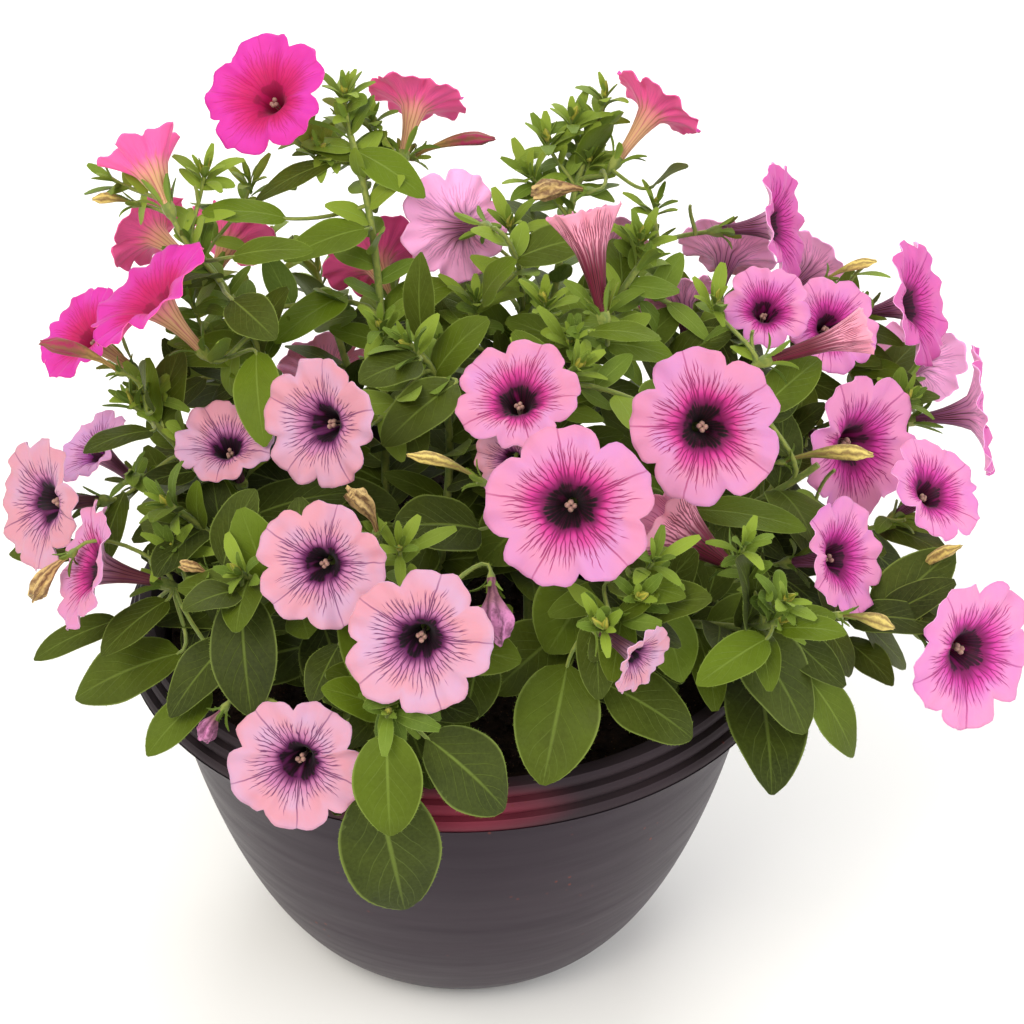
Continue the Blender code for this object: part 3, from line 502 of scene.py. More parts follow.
@dataclass
class Stock:
    """Surfaces that end up in one mesh.

    A batch holds points, the point at each corner, the map at each corner, how many corners
    each face has and its slot, and the tone and the underside mark of each point.
    """

    batches: list[tuple[Array, ...]] = field(default_factory=list)
    count: int = 0

    def keep(self, points: Array, corners: Array, coords: Array, sizes: Array, slot: int, tone: float,
             under: Array) -> None:
        """Keep a batch whose corners count from its own first point."""
        self.batches.append((points, corners + self.count, coords, sizes, np.full(len(sizes), slot),
                             np.full(len(points), tone), under))
        self.count += len(points)

    def add_grid(self, grid: Array, across_shares: Array, along_shares: Array, slot: int = 0,
                 tone: float = 0.5, caps: bool = True, under: Array | None = None) -> None:
        """Add a grid of points as quads, whose last column meets the first, with its ends closed.

        The quad at row i and column j joins (i, j), (i, j+1), (i+1, j+1) and (i+1, j). If a
        surface that is closed by caps holds a negative volume (one third of the sum of centroid
        dot area), every face is turned round.

        Args:
            grid: points, rows by columns by 3.
            across_shares: texture coordinate of each column, and of the seam.
            along_shares: texture coordinate of each row.
            slot: material slot.
            tone: random number of this shape, 0 to 1, for its colour.
            caps: whether both end rows are closed by a face.
            under: 1 at each column that belongs to an underside, else 0.
        """
        rows, columns = grid.shape[:2]
        row, column = np.meshgrid(np.arange(rows - 1), np.arange(columns), indexing="ij")
        after = (column + 1) % columns
        quads = np.stack([row * columns + column, row * columns + after,
                          (row + 1) * columns + after, (row + 1) * columns + column], -1).reshape(-1, 4)
        table = np.stack(np.meshgrid(across_shares, along_shares), -1)
        marks = np.stack([table[row, column], table[row, column + 1],
                          table[row + 1, column + 1], table[row + 1, column]], -2).reshape(-1, 4, 2)
        flat = grid.reshape(-1, 3)
        a, b, c, d = (flat[quads[:, k]] - flat.mean(0) for k in range(4))
        inside_out = caps and bool(np.einsum("ij,ij->", a + b + c + d, np.cross(c - a, d - b)) < 0)
        if inside_out:
            quads, marks = quads[:, ::-1], marks[:, ::-1]
        corners, coords, sizes = [quads.ravel()], [marks.reshape(-1, 2)], [4] * len(quads)
        for end, flip in ((0, not inside_out), (rows - 1, inside_out)) if caps else ():
            order = np.arange(columns)[::-1] if flip else np.arange(columns)
            corners.append(end * columns + order)
            coords.append(np.stack([across_shares[order], np.full(columns, along_shares[end])], -1))
            sizes.append(columns)
        self.keep(flat, np.concatenate(corners), np.concatenate(coords), np.array(sizes), slot, tone,
                  np.tile(np.zeros(columns) if under is None else under, rows))

    def add_hairs(self, rails: tuple[Array, Array], columns: Array | int, spots: Array,
                  draw: np.random.Generator, lengths: tuple[float, float]) -> None:
        """Add hairs as thin three-sided spikes, closed at the foot, that stand out from a surface.

        A foot has its corners at root + thickness (side cos a + upper sin a) and the point lies
        at root + length times way. The way is the unit vector from the middle to the root, with
        up to half of one added at random.

        Args:
            rails: the surface's grid, and the middle of each of its rows.
            columns: column of each hair.
            spots: row of each hair, with a share of the way to the next one.
            draw: seeded random numbers.
            lengths: shortest and longest, in millimetres.
        """
        count = len(spots)
        if not count:
            return
        grid, middles = rails
        low, share = spots.astype(int), (spots % 1.0)[:, None]
        roots = grid[low, columns] * (1 - share) + grid[low + 1, columns] * share
        ways = unit(roots - (middles[low] * (1 - share) + middles[low + 1] * share))
        ways = unit(ways + draw.uniform(-0.5, 0.5, (count, 3)))
        length = draw.uniform(*lengths, count) * MM
        side = unit(np.cross(ways, HAIR_GUIDE))
        upper = np.cross(ways, side)
        angle = math.tau * np.arange(3) / 3
        feet = (roots[:, None] - 0.1 * MM * ways[:, None]
                + HAIR * (side[:, None] * np.cos(angle)[:, None] + upper[:, None] * np.sin(angle)[:, None]))
        flat = np.concatenate([feet, (roots + ways * length[:, None])[:, None]], 1).reshape(-1, 3)
        faces = (4 * np.arange(count)[:, None, None] + np.array(SPIKE)).reshape(-1, 3)
        self.keep(flat, faces.ravel(), np.full((faces.size, 2), 0.5), np.full(len(faces), 3), Green.YOUNG,
                  HAIR_TONE, np.zeros(len(flat)))

    def make(self, name: str, materials: Sequence[Material], sharp: float = 50.0) -> Piece:
        """Put everything into one mesh object at the origin.

        Args:
            name: object name.
            materials: materials in slot order.
            sharp: edges that turn by more than this many degrees stay crisp.

        Returns:
            The object, with the map "blade" and the attributes "tone" and "under".
        """
        points, corners, coords, sizes, slots, tones, unders = map(np.concatenate, zip(*self.batches))
        mesh = bpy.data.meshes.new(name)
        mesh.vertices.add(len(points))
        mesh.loops.add(len(corners))
        mesh.polygons.add(len(sizes))
        for store, key, values, kind in ((mesh.vertices, "co", points, np.float32),
                                         (mesh.loops, "vertex_index", corners, np.int32),
                                         (mesh.polygons, "loop_start", np.cumsum(sizes) - sizes, np.int32),
                                         (mesh.polygons, "material_index", slots, np.int32)):
            store.foreach_set(key, values.astype(kind).ravel())
        mesh.update(calc_edges=True)
        mesh.uv_layers.new(name="blade").data.foreach_set("uv", coords.astype(np.float32).ravel())
        for mark, values in (("tone", tones), ("under", unders)):
            mesh.attributes.new(mark, "FLOAT", "POINT").data.foreach_set("value", values.astype(np.float32))
        mesh.polygons.foreach_set("use_smooth", np.ones(len(sizes), bool))
        mesh.set_sharp_from_angle(angle=math.radians(sharp))
        for material in materials:
            mesh.materials.append(material)
        return link(bpy.data.objects.new(name, mesh))


def link(thing: Piece) -> Piece:
    """Put an object into the scene and hand it back."""
    bpy.context.scene.collection.objects.link(thing)
    return thing


def add_tube(stock: Stock, path: Path, radii: Array, sides: int, tone: float, hairs: float = 0.0) -> None:
    """Add a closed round stem along a path.

    Args:
        stock: where the surface goes.
        path: points of the centre line.
        radii: radius at each point, in metres.
        sides: points round each ring.
        tone: random number for its colour.
        hairs: how many stand on each millimetre of its length.
    """
    grid = tube_grid(path, radii, sides)
    length = np.concatenate([[0.0], np.cumsum([(b - a).length for a, b in zip(path, path[1:])])])
    stock.add_grid(grid, np.linspace(0, 1, sides + 1), length / max(length[-1], MM), Green.STEM, tone)
    count = int(hairs * length[-1] / MM)
    draw = np.random.default_rng(int(1e6 * tone) + count)
    spots = draw.uniform(0, len(path) - 1.01, count)
    stock.add_hairs((grid, grid.mean(1)), draw.integers(0, sides, count), spots, draw, (0.6, 1.2))


def add_lathe(stock: Stock, base: Vector, axis: Vector, profile: Sequence[tuple[float, float]], sides: int,
              slot: Green, tone: float, folds: float = 0.0) -> None:
    """Add a turned form, fluted by a share of its radius times cos 5a.

    Args:
        stock: where the surface goes.
        base: where the height is zero.
        axis: direction of its axis.
        profile: radius and height of each ring, in metres.
        sides: points round each ring.
        slot: material slot.
        tone: random number for its turn and its colour.
        folds: depth of the flutes, as a share of the radius.
    """
    radius, height = np.array(profile).T
    angle = round_angles(sides)
    grid = around(base, axis, 360 * tone, angle, np.outer(radius, 1 + folds * np.cos(PETALS * angle)),
                  height[:, None])
    stock.add_grid(grid, np.linspace(0, 1, sides + 1), np.linspace(0, 1, len(radius)), slot, tone)


# ---------------------------------------------------------------- finishes
def linear(code: str) -> tuple[float, float, float, float]:
    """Linear colour of an sRGB hex code: c/12.92 up to 0.04045, else ((c + 0.055)/1.055)^2.4.

    Args:
        code: six hex digits.

    Returns:
        Red, green, blue and an alpha of one.
    """
    shares = (int(code[place:place + 2], 16) / 255 for place in (0, 2, 4))
    return (*(s / 12.92 if s <= 0.04045 else ((s + 0.055) / 1.055) ** 2.4 for s in shares), 1.0)


class Shader:
    """One procedural material, grown node by node."""

    MODES = {"Math": "operation", "VectorMath": "operation", "MapRange": "interpolation_type"}

    def __init__(self, name: str) -> None:
        """Start a material with its principled shader."""
        self.material = bpy.data.materials.new(name)
        self.material.use_nodes = True
        self.tree = self.material.node_tree
        self.surface = self.tree.nodes["Principled BSDF"]

    def feed(self, socket: Socket, feed: Feed) -> None:
        """Link a socket, or set it to a value or to the linear colour of a hex code."""
        if isinstance(feed, Socket):
            self.tree.links.new(feed, socket)
        elif feed is not None:
            socket.default_value = linear(feed) if isinstance(feed, str) else feed

    def add(self, kind: str, *feeds: Feed, out: int | str = 0, **settings: object) -> Socket:
        """Add a node, set it up and feed its inputs in order.

        Args:
            kind: node type without its ShaderNode prefix and, after a dot, its mode, or Math's mode alone.
            feeds: a socket to link, a value or hex code to set or None to leave alone, one an input.
            out: which output to hand back.
            settings: properties of the node.

        Returns:
            The output socket.
        """
        kind, _, mode = (f"Math.{kind}" if kind.isupper() else kind).partition(".")
        node = self.tree.nodes.new("ShaderNode" + kind)
        if mode:
            settings[self.MODES[kind]] = mode
        for key, value in settings.items():
            setattr(node, key, value)
        for socket, feed in zip(node.inputs, feeds):
            self.feed(socket, feed)
        return node.outputs[out]

    def set(self, **feeds: Feed) -> None:
        """Feed sockets of the principled shader, named with _ for a space."""
        for key, feed in feeds.items():
            self.feed(self.surface.inputs[key.replace("_", " ")], feed)


@dataclass(frozen=True)
class PetalFinish:
    """Velvety petal skin: dark throat, a flushed ring, pale lobes and forking veins.

    The map's first coordinate counts the lobes round the flower, whole at each notch. Its
    second runs from 0 at the foot of the tube through MOUTH to 1 at the edge of the limb.
    Petal cells are 0.03 mm wide, so their velvet is drawn coarser, as cells of 1.11 mm.
    """

    name: str
    lobe: str
    blush: str
    flush: str
    ring: str
    throat: str
    vein: str
    vein_end: str
    back: str
    back_vein: str
    tube: str
    tube_streak: str
    ring_end: float
    reach: float
    vein_share: float = 0.9
    back_share: float = 0.45
    dark: float = 0.02

    MOUTH = 0.42
    COURSES = 6.0
    VEIN_WIDTH = 0.031
    CELL = 1.11 * MM

    def coordinates(self, shader: Shader) -> dict[str, Socket]:
        """Sockets that the two skins share: tone, lobe count, height, share of the limb and wobble.

        Args:
            shader: the material.

        Returns:
            Each socket by its name.
        """
        add = shader.add
        lobes = add("SeparateXYZ", add("UVMap", uv_map="blade"))
        height = lobes.node.outputs["Y"]
        tone = add("Attribute", out="Fac", attribute_name="tone")
        place = add("CombineXYZ", lobes, add("MULTIPLY", height, 2.0), add("MULTIPLY", tone, 40.0))
        return {"tone": tone, "lobes": lobes, "height": height, "place": place,
                "wobble": add("TexNoise", place, None, 2.2, 1.5, 0.5),
                "limb": add("MapRange", height, self.MOUTH, 1.0)}

    def veins(self, shader: Shader, at: dict[str, Socket], width: float) -> Socket:
        """Veins that run out from the throat, fork twice and fade, and a rib down each lobe.

        With p the distance from a course as a share of the gap between two, and f and g two
        eased steps of the limb's share, a vein is a line where ||p - f/4| - g/8| is 0. Its
        width in p is width over the share plus 0.2. It ends at a share of reach times
        0.42 + 0.25 h + 0.33 k, with h a random number for each course and k one for each eighth.

        Args:
            shader: the material.
            at: its shared sockets.
            width: a vein's width.

        Returns:
            1 on a vein and 0 between them.
        """
        add, limb, wobble = shader.add, at["limb"], at["wobble"]
        drift = add("MULTIPLY_ADD", wobble, 0.12, at["lobes"])
        course = add("MULTIPLY", add("SUBTRACT", drift, 0.06), self.COURSES)
        apart = add("ABSOLUTE", add("SUBTRACT", add("FRACT", course), 0.5))
        uneven = add("MULTIPLY_ADD", add("TexNoise", at["place"], None, 5.0, 1.0, 0.5), 0.5, limb)
        for low, high, step in ((0.30, 0.62, 0.25), (0.52, 0.95, 0.125)):
            fork = add("MapRange.SMOOTHSTEP", uneven, low, high, 0.0, step)
            apart = add("ABSOLUTE", add("SUBTRACT", apart, fork))
        wide = add("DIVIDE", width, add("ADD", limb, 0.2))
        line = add("MapRange.SMOOTHSTEP", add("DIVIDE", apart, wide), 0.4, 1.6, 1.0, 0.0)
        cells = add("FLOOR", course), add("FLOOR", add("MULTIPLY_ADD", course, 8.0, 0.5))
        whole, part = (add("TexWhiteNoise", None, cell, noise_dimensions="1D") for cell in cells)
        length = add("MULTIPLY_ADD", whole, 0.25, add("MULTIPLY_ADD", part, 0.33, 0.42))
        past = add("MULTIPLY_ADD", length, -self.reach, limb)
        fade = add("MapRange", past, -0.14, 0.0, 1.0, 0.0)
        middle = add("FRACT", add("ADD", add("MULTIPLY_ADD", wobble, 0.05, at["lobes"]), 0.975))
        middle = add("ABSOLUTE", add("SUBTRACT", middle, 0.5))
        breadth = add("MULTIPLY", middle, add("ADD", limb, 0.3))
        rib = add("MapRange.SMOOTHSTEP", breadth, 0.004, 0.018, 1.0, 0.0)
        rib_fade = add("MapRange", limb, 0.45, 1.0, 1.0, 0.45)
        return add("MAXIMUM", add("MULTIPLY", line, fade), add("MULTIPLY", rib, rib_fade))

    def face(self) -> Material:
        """The inner skin, seen from the front of the flower: throat, ring and flush fade into the lobes.

        Returns:
            The material.
        """
        shader = Shader(self.name + "_petal_face")
        add, at = shader.add, self.coordinates(shader)
        patch = add("TexNoise", at["place"], None, 1.1, 2.0, 0.5)
        skin = add("MixRGB", add("MapRange", patch, 0.40, 0.66), self.lobe, self.blush)
        skin = add("MixRGB", add("MapRange", at["tone"], 0.92, 1.0, 0.0, 0.6), skin, self.flush)
        soft = add("MULTIPLY_ADD", add("SUBTRACT", at["wobble"], 0.5), 0.30, at["limb"])
        colour = self.throat
        for start, end, tint in ((0.5 * self.dark, 2.0 * self.dark, self.ring),
                                 (self.dark, 0.50 * self.ring_end, self.flush),
                                 (0.28 * self.ring_end, 1.2 * self.ring_end, skin)):
            colour = add("MixRGB", add("MapRange.SMOOTHSTEP", soft, start, end), colour, tint)
        clear = add("MapRange", at["limb"], 0.0, 2.0 * self.dark, 0.2 * self.vein_share, self.vein_share)
        veins = add("MULTIPLY", self.veins(shader, at, self.VEIN_WIDTH), clear)
        ink = add("MixRGB", add("MapRange", at["limb"], 0.12, 0.70), self.vein, self.vein_end)
        return self.velvet(shader, add("MixRGB", veins, colour, ink), veins)

    def outer(self) -> Material:
        """The outer skin: a streaked tube that opens into a paler, veined back.

        Returns:
            The material.
        """
        shader = Shader(self.name + "_petal_back")
        add, at = shader.add, self.coordinates(shader)
        open_part = add("MapRange.SMOOTHSTEP", at["height"], 0.28, 0.58)
        colour = add("MixRGB", open_part, self.tube, self.back)
        streaks = add("PINGPONG", add("MULTIPLY_ADD", at["lobes"], 3.0, at["wobble"]), 0.5)
        streak = add("MapRange.SMOOTHSTEP", streaks, 0.02, 0.20, 0.85, 0.0)
        on_tube = add("MapRange", at["height"], 0.42, 0.66, 1.0, 0.0)
        colour = add("MixRGB", add("MULTIPLY", streak, on_tube), colour, self.tube_streak)
        veins = self.veins(shader, at, (0.8 + self.back_share) * self.VEIN_WIDTH)
        veins = add("MULTIPLY", veins, self.back_share)
        return self.velvet(shader, add("MixRGB", veins, colour, self.back_vein), veins)

    def velvet(self, shader: Shader, colour: Socket, veins: Socket) -> Material:
        """Soft sheen of petal cells, and veins that sink a little.

        Args:
            shader: the material.
            colour: its colour.
            veins: 1 on a vein and 0 between them.

        Returns:
            The finished material.
        """
        cells = shader.add("TexNoise", shader.add("TexCoord", out="Object"), None, 1 / self.CELL, 2.0, 0.5)
        height = shader.add("MULTIPLY_ADD", veins, -0.6, cells)
        shader.set(Base_Color=colour, Roughness=0.62, Normal=shader.add("Bump", 0.22, 0.4 * MM, None, height),
                   Sheen_Weight=0.06, Sheen_Roughness=0.4, Specular_IOR_Level=0.25,
                   Subsurface_Weight=0.10, Subsurface_Scale=2 * MM)
        return shader.material


@dataclass(frozen=True)
class LeafFinish:
    """Softly hairy leaf: a pale midrib, faint arched side veins and a thin pale edge.

    The map's first coordinate crosses the blade from edge to edge and its second runs from
    the stalk to the tip. "tone" differs from leaf to leaf and "under" marks the underside.
    Painted light and shade: leaves are drawn lighter upwards and darker lower down, by the climb
    for each metre above the middle height. Down is 0.05 mm thick, so it is drawn coarser, as
    grains of 1.43 mm.
    """

    name: str
    dark: str
    body: str
    light: str
    rib: str
    edge: str
    under: str
    side_veins: int = 7
    rib_share: float = 0.55

    # Painted light and shade: how much lighter a leaf is drawn for each metre of height, and the height where
    # it keeps its own colour
    PAINTED_LIGHT_CLIMB = 2.8
    PAINTED_LIGHT_MIDDLE = 240 * MM
    PATCH = 22.2 * MM
    DOWN = 1.43 * MM
    EDGE_SHARE = 0.5

    def make(self) -> Material:
        """The leaf's material.

        A side vein is where along times side_veins, less 6 times the distance from the midrib,
        is whole.

        Returns:
            The material.
        """
        shader = Shader(self.name)
        add = shader.add
        crossing = add("SeparateXYZ", add("UVMap", uv_map="blade"))
        along = crossing.node.outputs["Y"]
        tone, under = (add("Attribute", out="Fac", attribute_name=mark) for mark in ("tone", "under"))
        place = add("TexCoord", out="Object")
        broad = add("TexNoise", place, None, 1 / self.PATCH, 3.0, 0.55)
        fine = add("TexNoise", place, None, 1 / self.DOWN, 3.0, 0.6)
        # Painted light and shade by height: lower leaves drawn darker and upper ones lighter, mixed with each
        # leaf's random tone and a broad mottle
        level = add("SeparateXYZ", place, out="Z")
        painted_height_light = add("MULTIPLY_ADD", level, self.PAINTED_LIGHT_CLIMB, -self.PAINTED_LIGHT_MIDDLE * self.PAINTED_LIGHT_CLIMB)
        mixed = add("MULTIPLY_ADD", tone, 0.75, add("MULTIPLY_ADD", broad, 0.5, painted_height_light))
        colour = add("MixRGB", add("MapRange", mixed, 0.15, 0.60), self.dark, self.body)
        colour = add("MixRGB", add("MapRange", mixed, 0.60, 1.05), colour, self.light)
        offset = add("ABSOLUTE", add("SUBTRACT", crossing, 0.5))
        count = add("MULTIPLY_ADD", offset, -6.0, add("MULTIPLY", along, float(self.side_veins)))
        ripple = add("PINGPONG", add("MULTIPLY_ADD", broad, 0.8, count), 0.5)
        line = add("MapRange.SMOOTHSTEP", ripple, 0.0, 0.07, 1.0, 0.0)
        side = add("MULTIPLY", line, add("MapRange", offset, 0.20, 0.42, 1.0, 0.0))
        rib = add("MapRange.SMOOTHSTEP", offset, 0.008, 0.034, 1.0, 0.0)
        fading = add("MapRange", along, 0.30, 1.0, self.rib_share, 0.15)
        veins = add("MAXIMUM", add("MULTIPLY", side, 0.22), add("MULTIPLY", rib, fading))
        for share, tint in ((veins, self.rib),
                            (add("MapRange", offset, 0.465, 0.492, 0.0, self.EDGE_SHARE), self.edge),
                            (add("MULTIPLY", under, 0.65), self.under),
                            (add("MapRange", fine, 0.35, 0.65, 0.0, 0.07), self.rib)):
            colour = add("MixRGB", share, colour, tint)
        height = add("ADD", add("MULTIPLY_ADD", side, -1.6, fine), add("MULTIPLY", rib, -1.5))
        shader.set(Base_Color=colour, Roughness=0.55, Normal=add("Bump", 0.35, 0.5 * MM, None, height),
                   Sheen_Weight=0.02, Sheen_Roughness=0.5, Specular_IOR_Level=0.15)
        return shader.material


@dataclass(frozen=True)
class StreakFinish:
    """Fleshy skin of stems, buds and faded flowers: two colours in streaks along the shape.

    Where "tip" is given the body's colour turns into it past the middle. The blotches are
    3.85 mm wide, and the down on the skin is drawn coarser than it is, as grains of 0.667 mm.
    """

    name: str
    body: str
    streak: str
    streaks: float
    sheen: float = 0.2
    tip: str | None = None

    BLOTCH = 3.85 * MM
    DOWN = 0.667 * MM

    def make(self) -> Material:
        """Mix the streaks over the body and roughen the skin with down.

        Returns:
            The material.
        """
        shader = Shader(self.name)
        add = shader.add
        turn = add("SeparateXYZ", add("UVMap", uv_map="blade"))
        place = add("TexCoord", out="Object")
        blotch = add("TexNoise", place, None, 1 / self.BLOTCH, 3.0, 0.6)
        count = add("MULTIPLY_ADD", turn, self.streaks, add("MULTIPLY", blotch, 1.6))
        mask = add("MapRange", add("PINGPONG", count, 0.5), 0.05, 0.45, 0.8, 0.0)
        body = self.body
        if self.tip:
            along = add("MULTIPLY_ADD", blotch, 0.2, turn.node.outputs["Y"])
            body = add("MixRGB", add("MapRange", along, 0.50, 0.75), body, self.tip)
        shade = add("MapRange", add("Attribute", out="Fac", attribute_name="tone"), 0.0, 1.0, 0.85, 1.12)
        colour = add("HueSaturation", 0.5, 1.0, shade, 1.0, add("MixRGB", mask, body, self.streak))
        down = add("TexNoise", place, None, 1 / self.DOWN, 2.0, 0.6)
        shader.set(Base_Color=colour, Roughness=0.6, Normal=add("Bump", 0.4, 0.5 * MM, None, down),
                   Sheen_Weight=self.sheen, Sheen_Roughness=0.5, Specular_IOR_Level=0.3)
        return shader.material


@dataclass(frozen=True)
class BowlFinish:
    """Charcoal polypropylene, injection moulded: satin, faintly banded, with dust and specks of rust.

    The bands are flow marks 18.2 mm high, the scuffs a third of that and the specks 4.76 mm
    apart, in patches of 26.3 mm. The mould's grain is drawn coarser than it is, at 0.385 mm.
    The collar is duller than the wall, and a red painted reflection of the flowers lies on its front.
    """

    body: str = "1B121B"
    low: str = "251924"
    rim: str = "261E20"
    dust: str = "564A52"
    speck: str = "6A2A18"
    # painted reflection: the red of the flowers on the front of the collar
    painted_reflection: str = "AA344C"
    sky: str = "E6D2E6"

    BAND = 18.2 * MM
    SPECK = 4.76 * MM
    SPECK_PATCH = 26.3 * MM
    GRAIN = 0.385 * MM
    # middle and spread of the painted reflection on the front of the collar
    PAINTED_REFLECTION_PLACE = (-0.005, -0.148, 0.170)
    PAINTED_REFLECTION_STRETCH = (20.0, 24.0, 90.0)

    def make(self, groove_height: float) -> Material:
        """The bowl's material.

        Args:
            groove_height: height of the dark line under the collar, in metres.

        Returns:
            The material.
        """
        shader = Shader("charcoal_moulded_plastic")
        add = shader.add
        place = add("TexCoord", out="Object")
        z = add("SeparateXYZ", place, out="Z")
        groove = groove_height, groove_height + 0.8 * MM
        banded = add("Mapping", place, None, None, (4.0, 4.0, 1 / self.BAND))
        bands = add("TexNoise", banded, None, 1.0, 3.0, 0.6)
        # painted reflection: a red patch on the front of the collar, fading away from its middle
        offset = add("VectorMath.SUBTRACT", place, self.PAINTED_REFLECTION_PLACE)
        stretched = add("VectorMath.MULTIPLY", offset, self.PAINTED_REFLECTION_STRETCH)
        distance = add("VectorMath.LENGTH", stretched, out="Value")
        spots = add("TexVoronoi", place, None, 1 / self.SPECK)
        rare = add("TexNoise", place, None, 1 / self.SPECK_PATCH, 2.0, 0.5)
        speck = add("MULTIPLY", add("MapRange", spots, 0.10, 0.20, 1.0, 0.0),
                    add("MapRange", rare, 0.62, 0.68))
        colour = self.body
        for share, tint in ((add("MapRange", z, 0.0, 0.11, 1.0, 0.0), self.low),
                            (add("MapRange", bands, 0.35, 0.7, 0.0, 0.12), self.dust),
                            (add("MapRange", z, *groove), self.rim),
                            # painted reflection of the flowers
                            (add("MapRange.SMOOTHSTEP", distance, 0.2, 1.25, 0.50, 0.0), self.painted_reflection),
                            (speck, self.speck)):
            colour = add("MixRGB", share, colour, tint)
        scuff = add("MapRange", add("TexNoise", banded, None, 3.0, 4.0, 0.7), 0.3, 0.7, 0.36, 0.50)
        roughness = add("ADD", add("MapRange", z, *groove, 0.0, 0.24), scuff)
        grain = add("TexNoise", place, None, 1 / self.GRAIN, 2.0, 0.5)
        shader.set(Base_Color=colour, Roughness=roughness, Normal=add("Bump", 0.12, 0.3 * MM, None, grain),
                   Specular_IOR_Level=0.36, Specular_Tint=self.sky)
        return shader.material


@dataclass(frozen=True)
class SoilFinish:
    """Damp peat mix: near black, in crumbs of 3.85 mm, with paler bark bits 2.38 mm apart."""

    dark: str = "120C08"
    body: str = "2A1C12"
    bark: str = "6B4A30"

    CRUMB = 3.85 * MM
    BIT = 2.38 * MM

    def make(self) -> Material:
        """Scatter the bark bits over the crumbs.

        Returns:
            The material.
        """
        shader = Shader("peat_potting_mix")
        add = shader.add
        place = add("TexCoord", out="Object")
        crumbs = add("TexNoise", place, None, 1 / self.CRUMB, 5.0, 0.7)
        bits = add("TexVoronoi", place, None, 1 / self.BIT)
        colour = add("MixRGB", add("MapRange", crumbs, 0.35, 0.65), self.dark, self.body)
        colour = add("MixRGB", add("MapRange", bits, 0.10, 0.16, 0.5, 0.0), colour, self.bark)
        shader.set(Base_Color=colour, Roughness=0.95, Normal=add("Bump", 0.9, 2 * MM, None, crumbs),
                   Specular_IOR_Level=0.15)
        return shader.material


# A petal's colours are lobe, blush, flush, ring, throat, vein, vein's end, back, back's vein, tube and its
# streak, and two numbers follow: where the ring ends and how far the veins reach. A leaf's colours are dark,
# body, light, rib, edge and underside.
PETAL_FINISHES = {
    Colour.HOT: PetalFinish(
        "hot_pink", *"CC34A4 C62A92 C01C68 B01258 8E0E44 A00E50 AC1A66 F664A6 CE4A8C C8A470 9A6A44".split(),
        0.55, 0.95, vein_share=0.6, back_share=0.30),
    Colour.MAGENTA: PetalFinish(
        "magenta", *"DA8AB6 CE7CBA C43498 700A52 2A0420 760A54 961A6E FFB4E6 AC64A0 5A2A34 2E1016".split(),
        0.50, 0.85),
    Colour.PINK: PetalFinish(
        "pink", *"CE84A6 C684B6 C43088 620A44 14030C 720A4C 92125C D8A0C4 6A2A58 743E40 3C1420".split(),
        0.46, 0.88, dark=0.03),
    Colour.PALE: PetalFinish(
        "pale_pink", *"CA8C9C C298B6 B6709E 56124C 14040F 4E1046 682460 CFA4C4 5E3058 5E383C 30121A".split(),
        0.36, 0.78),
    Colour.MAUVE: PetalFinish(
        "mauve", *"CC96C0 BE90C2 A65AA6 641468 220620 5C104A 7C286C FFB0E0 A86498 60303C 2E1016".split(),
        0.42, 0.85),
    Colour.FADED: PetalFinish(
        "faded_pink", *"DE84A8 D084B0 B85A88 701A44 3A1020 701A44 A04070 EC9CB4 701436 4E221C 280A0A".split(),
        0.5, 1.1, back_share=0.85),
}

GREEN_FINISHES = {
    Green.STEM: StreakFinish("downy_stem", "8A9440", "5E7430", 2.0),
    Green.LEAF: LeafFinish("petunia_leaf", *"222A05 404B08 5A6E0E 7A8E3A 889A48 5F6E36".split()),
    Green.YOUNG: LeafFinish("young_leaf", *"425616 5E7422 80942E 8EA64C 9CB05E 688036".split(), 4, 0.4),
    Green.BUD: StreakFinish("yellow_green_bud", "B0A43C", "74882C", 5.0, 0.1),
    Green.WILTED: StreakFinish("withered_flower", "C09A64", "5E3628", 6.0, 0.05, "D8B878"),
    Green.CRIMSON: StreakFinish("crimson_flower", "A88A48", "7A5A34", 5.0, 0.08, "9E2450"),
    Green.FOLDED: StreakFinish("folded_flower", "8E5A68", "5E2C48", 6.0, 0.08, "D486B8"),
    Green.SHUT: StreakFinish("shut_flower", "8C883C", "7A5E3A", 5.0, 0.08, "DAC46C"),
}


# ---------------------------------------------------------------- where everything grows
@dataclass(frozen=True)
class Flower:
    """One flower of the table, in metres and degrees."""

    number: int
    stem: str
    mouth: Vector
    axis: Vector
    width: float
    depth: float
    colour: Colour

    @property
    def base(self) -> Vector:
        """Foot of the tube, where it sits in its calyx."""
        return self.mouth - self.axis * self.depth

    @property
    def funnel(self) -> bool:
        """Whether it is a deep, half-open funnel."""
        return self.depth > 0.85 * self.width


@dataclass(frozen=True)
class Leaf:
    """Route of one blade: where its stalk starts, its base and tip, its width, face and arch."""

    root: Vector
    base: Vector
    tip: Vector
    width: float
    normal: Vector
    arch: float
    large: bool


@dataclass
class StemPlan:
    """Routes of one leafy stem: its main stem, side shoots, leaves and flowers.

    A route's ends are the control points of its curve, and its points are as coarse as the solid's.
    """

    name: str
    main_ends: tuple[Vector, ...]
    main: list[Vector]
    shoot_ends: list[tuple[Vector, ...]] = field(default_factory=list)
    shoots: list[list[Vector]] = field(default_factory=list)
    leaves: list[Leaf] = field(default_factory=list)
    flowers: list[Flower] = field(default_factory=list)

    @property
    def paths(self) -> list[list[Vector]]:
        """The part of the main stem above the soil, and the shoots."""
        return [self.main[1:], *self.shoots]


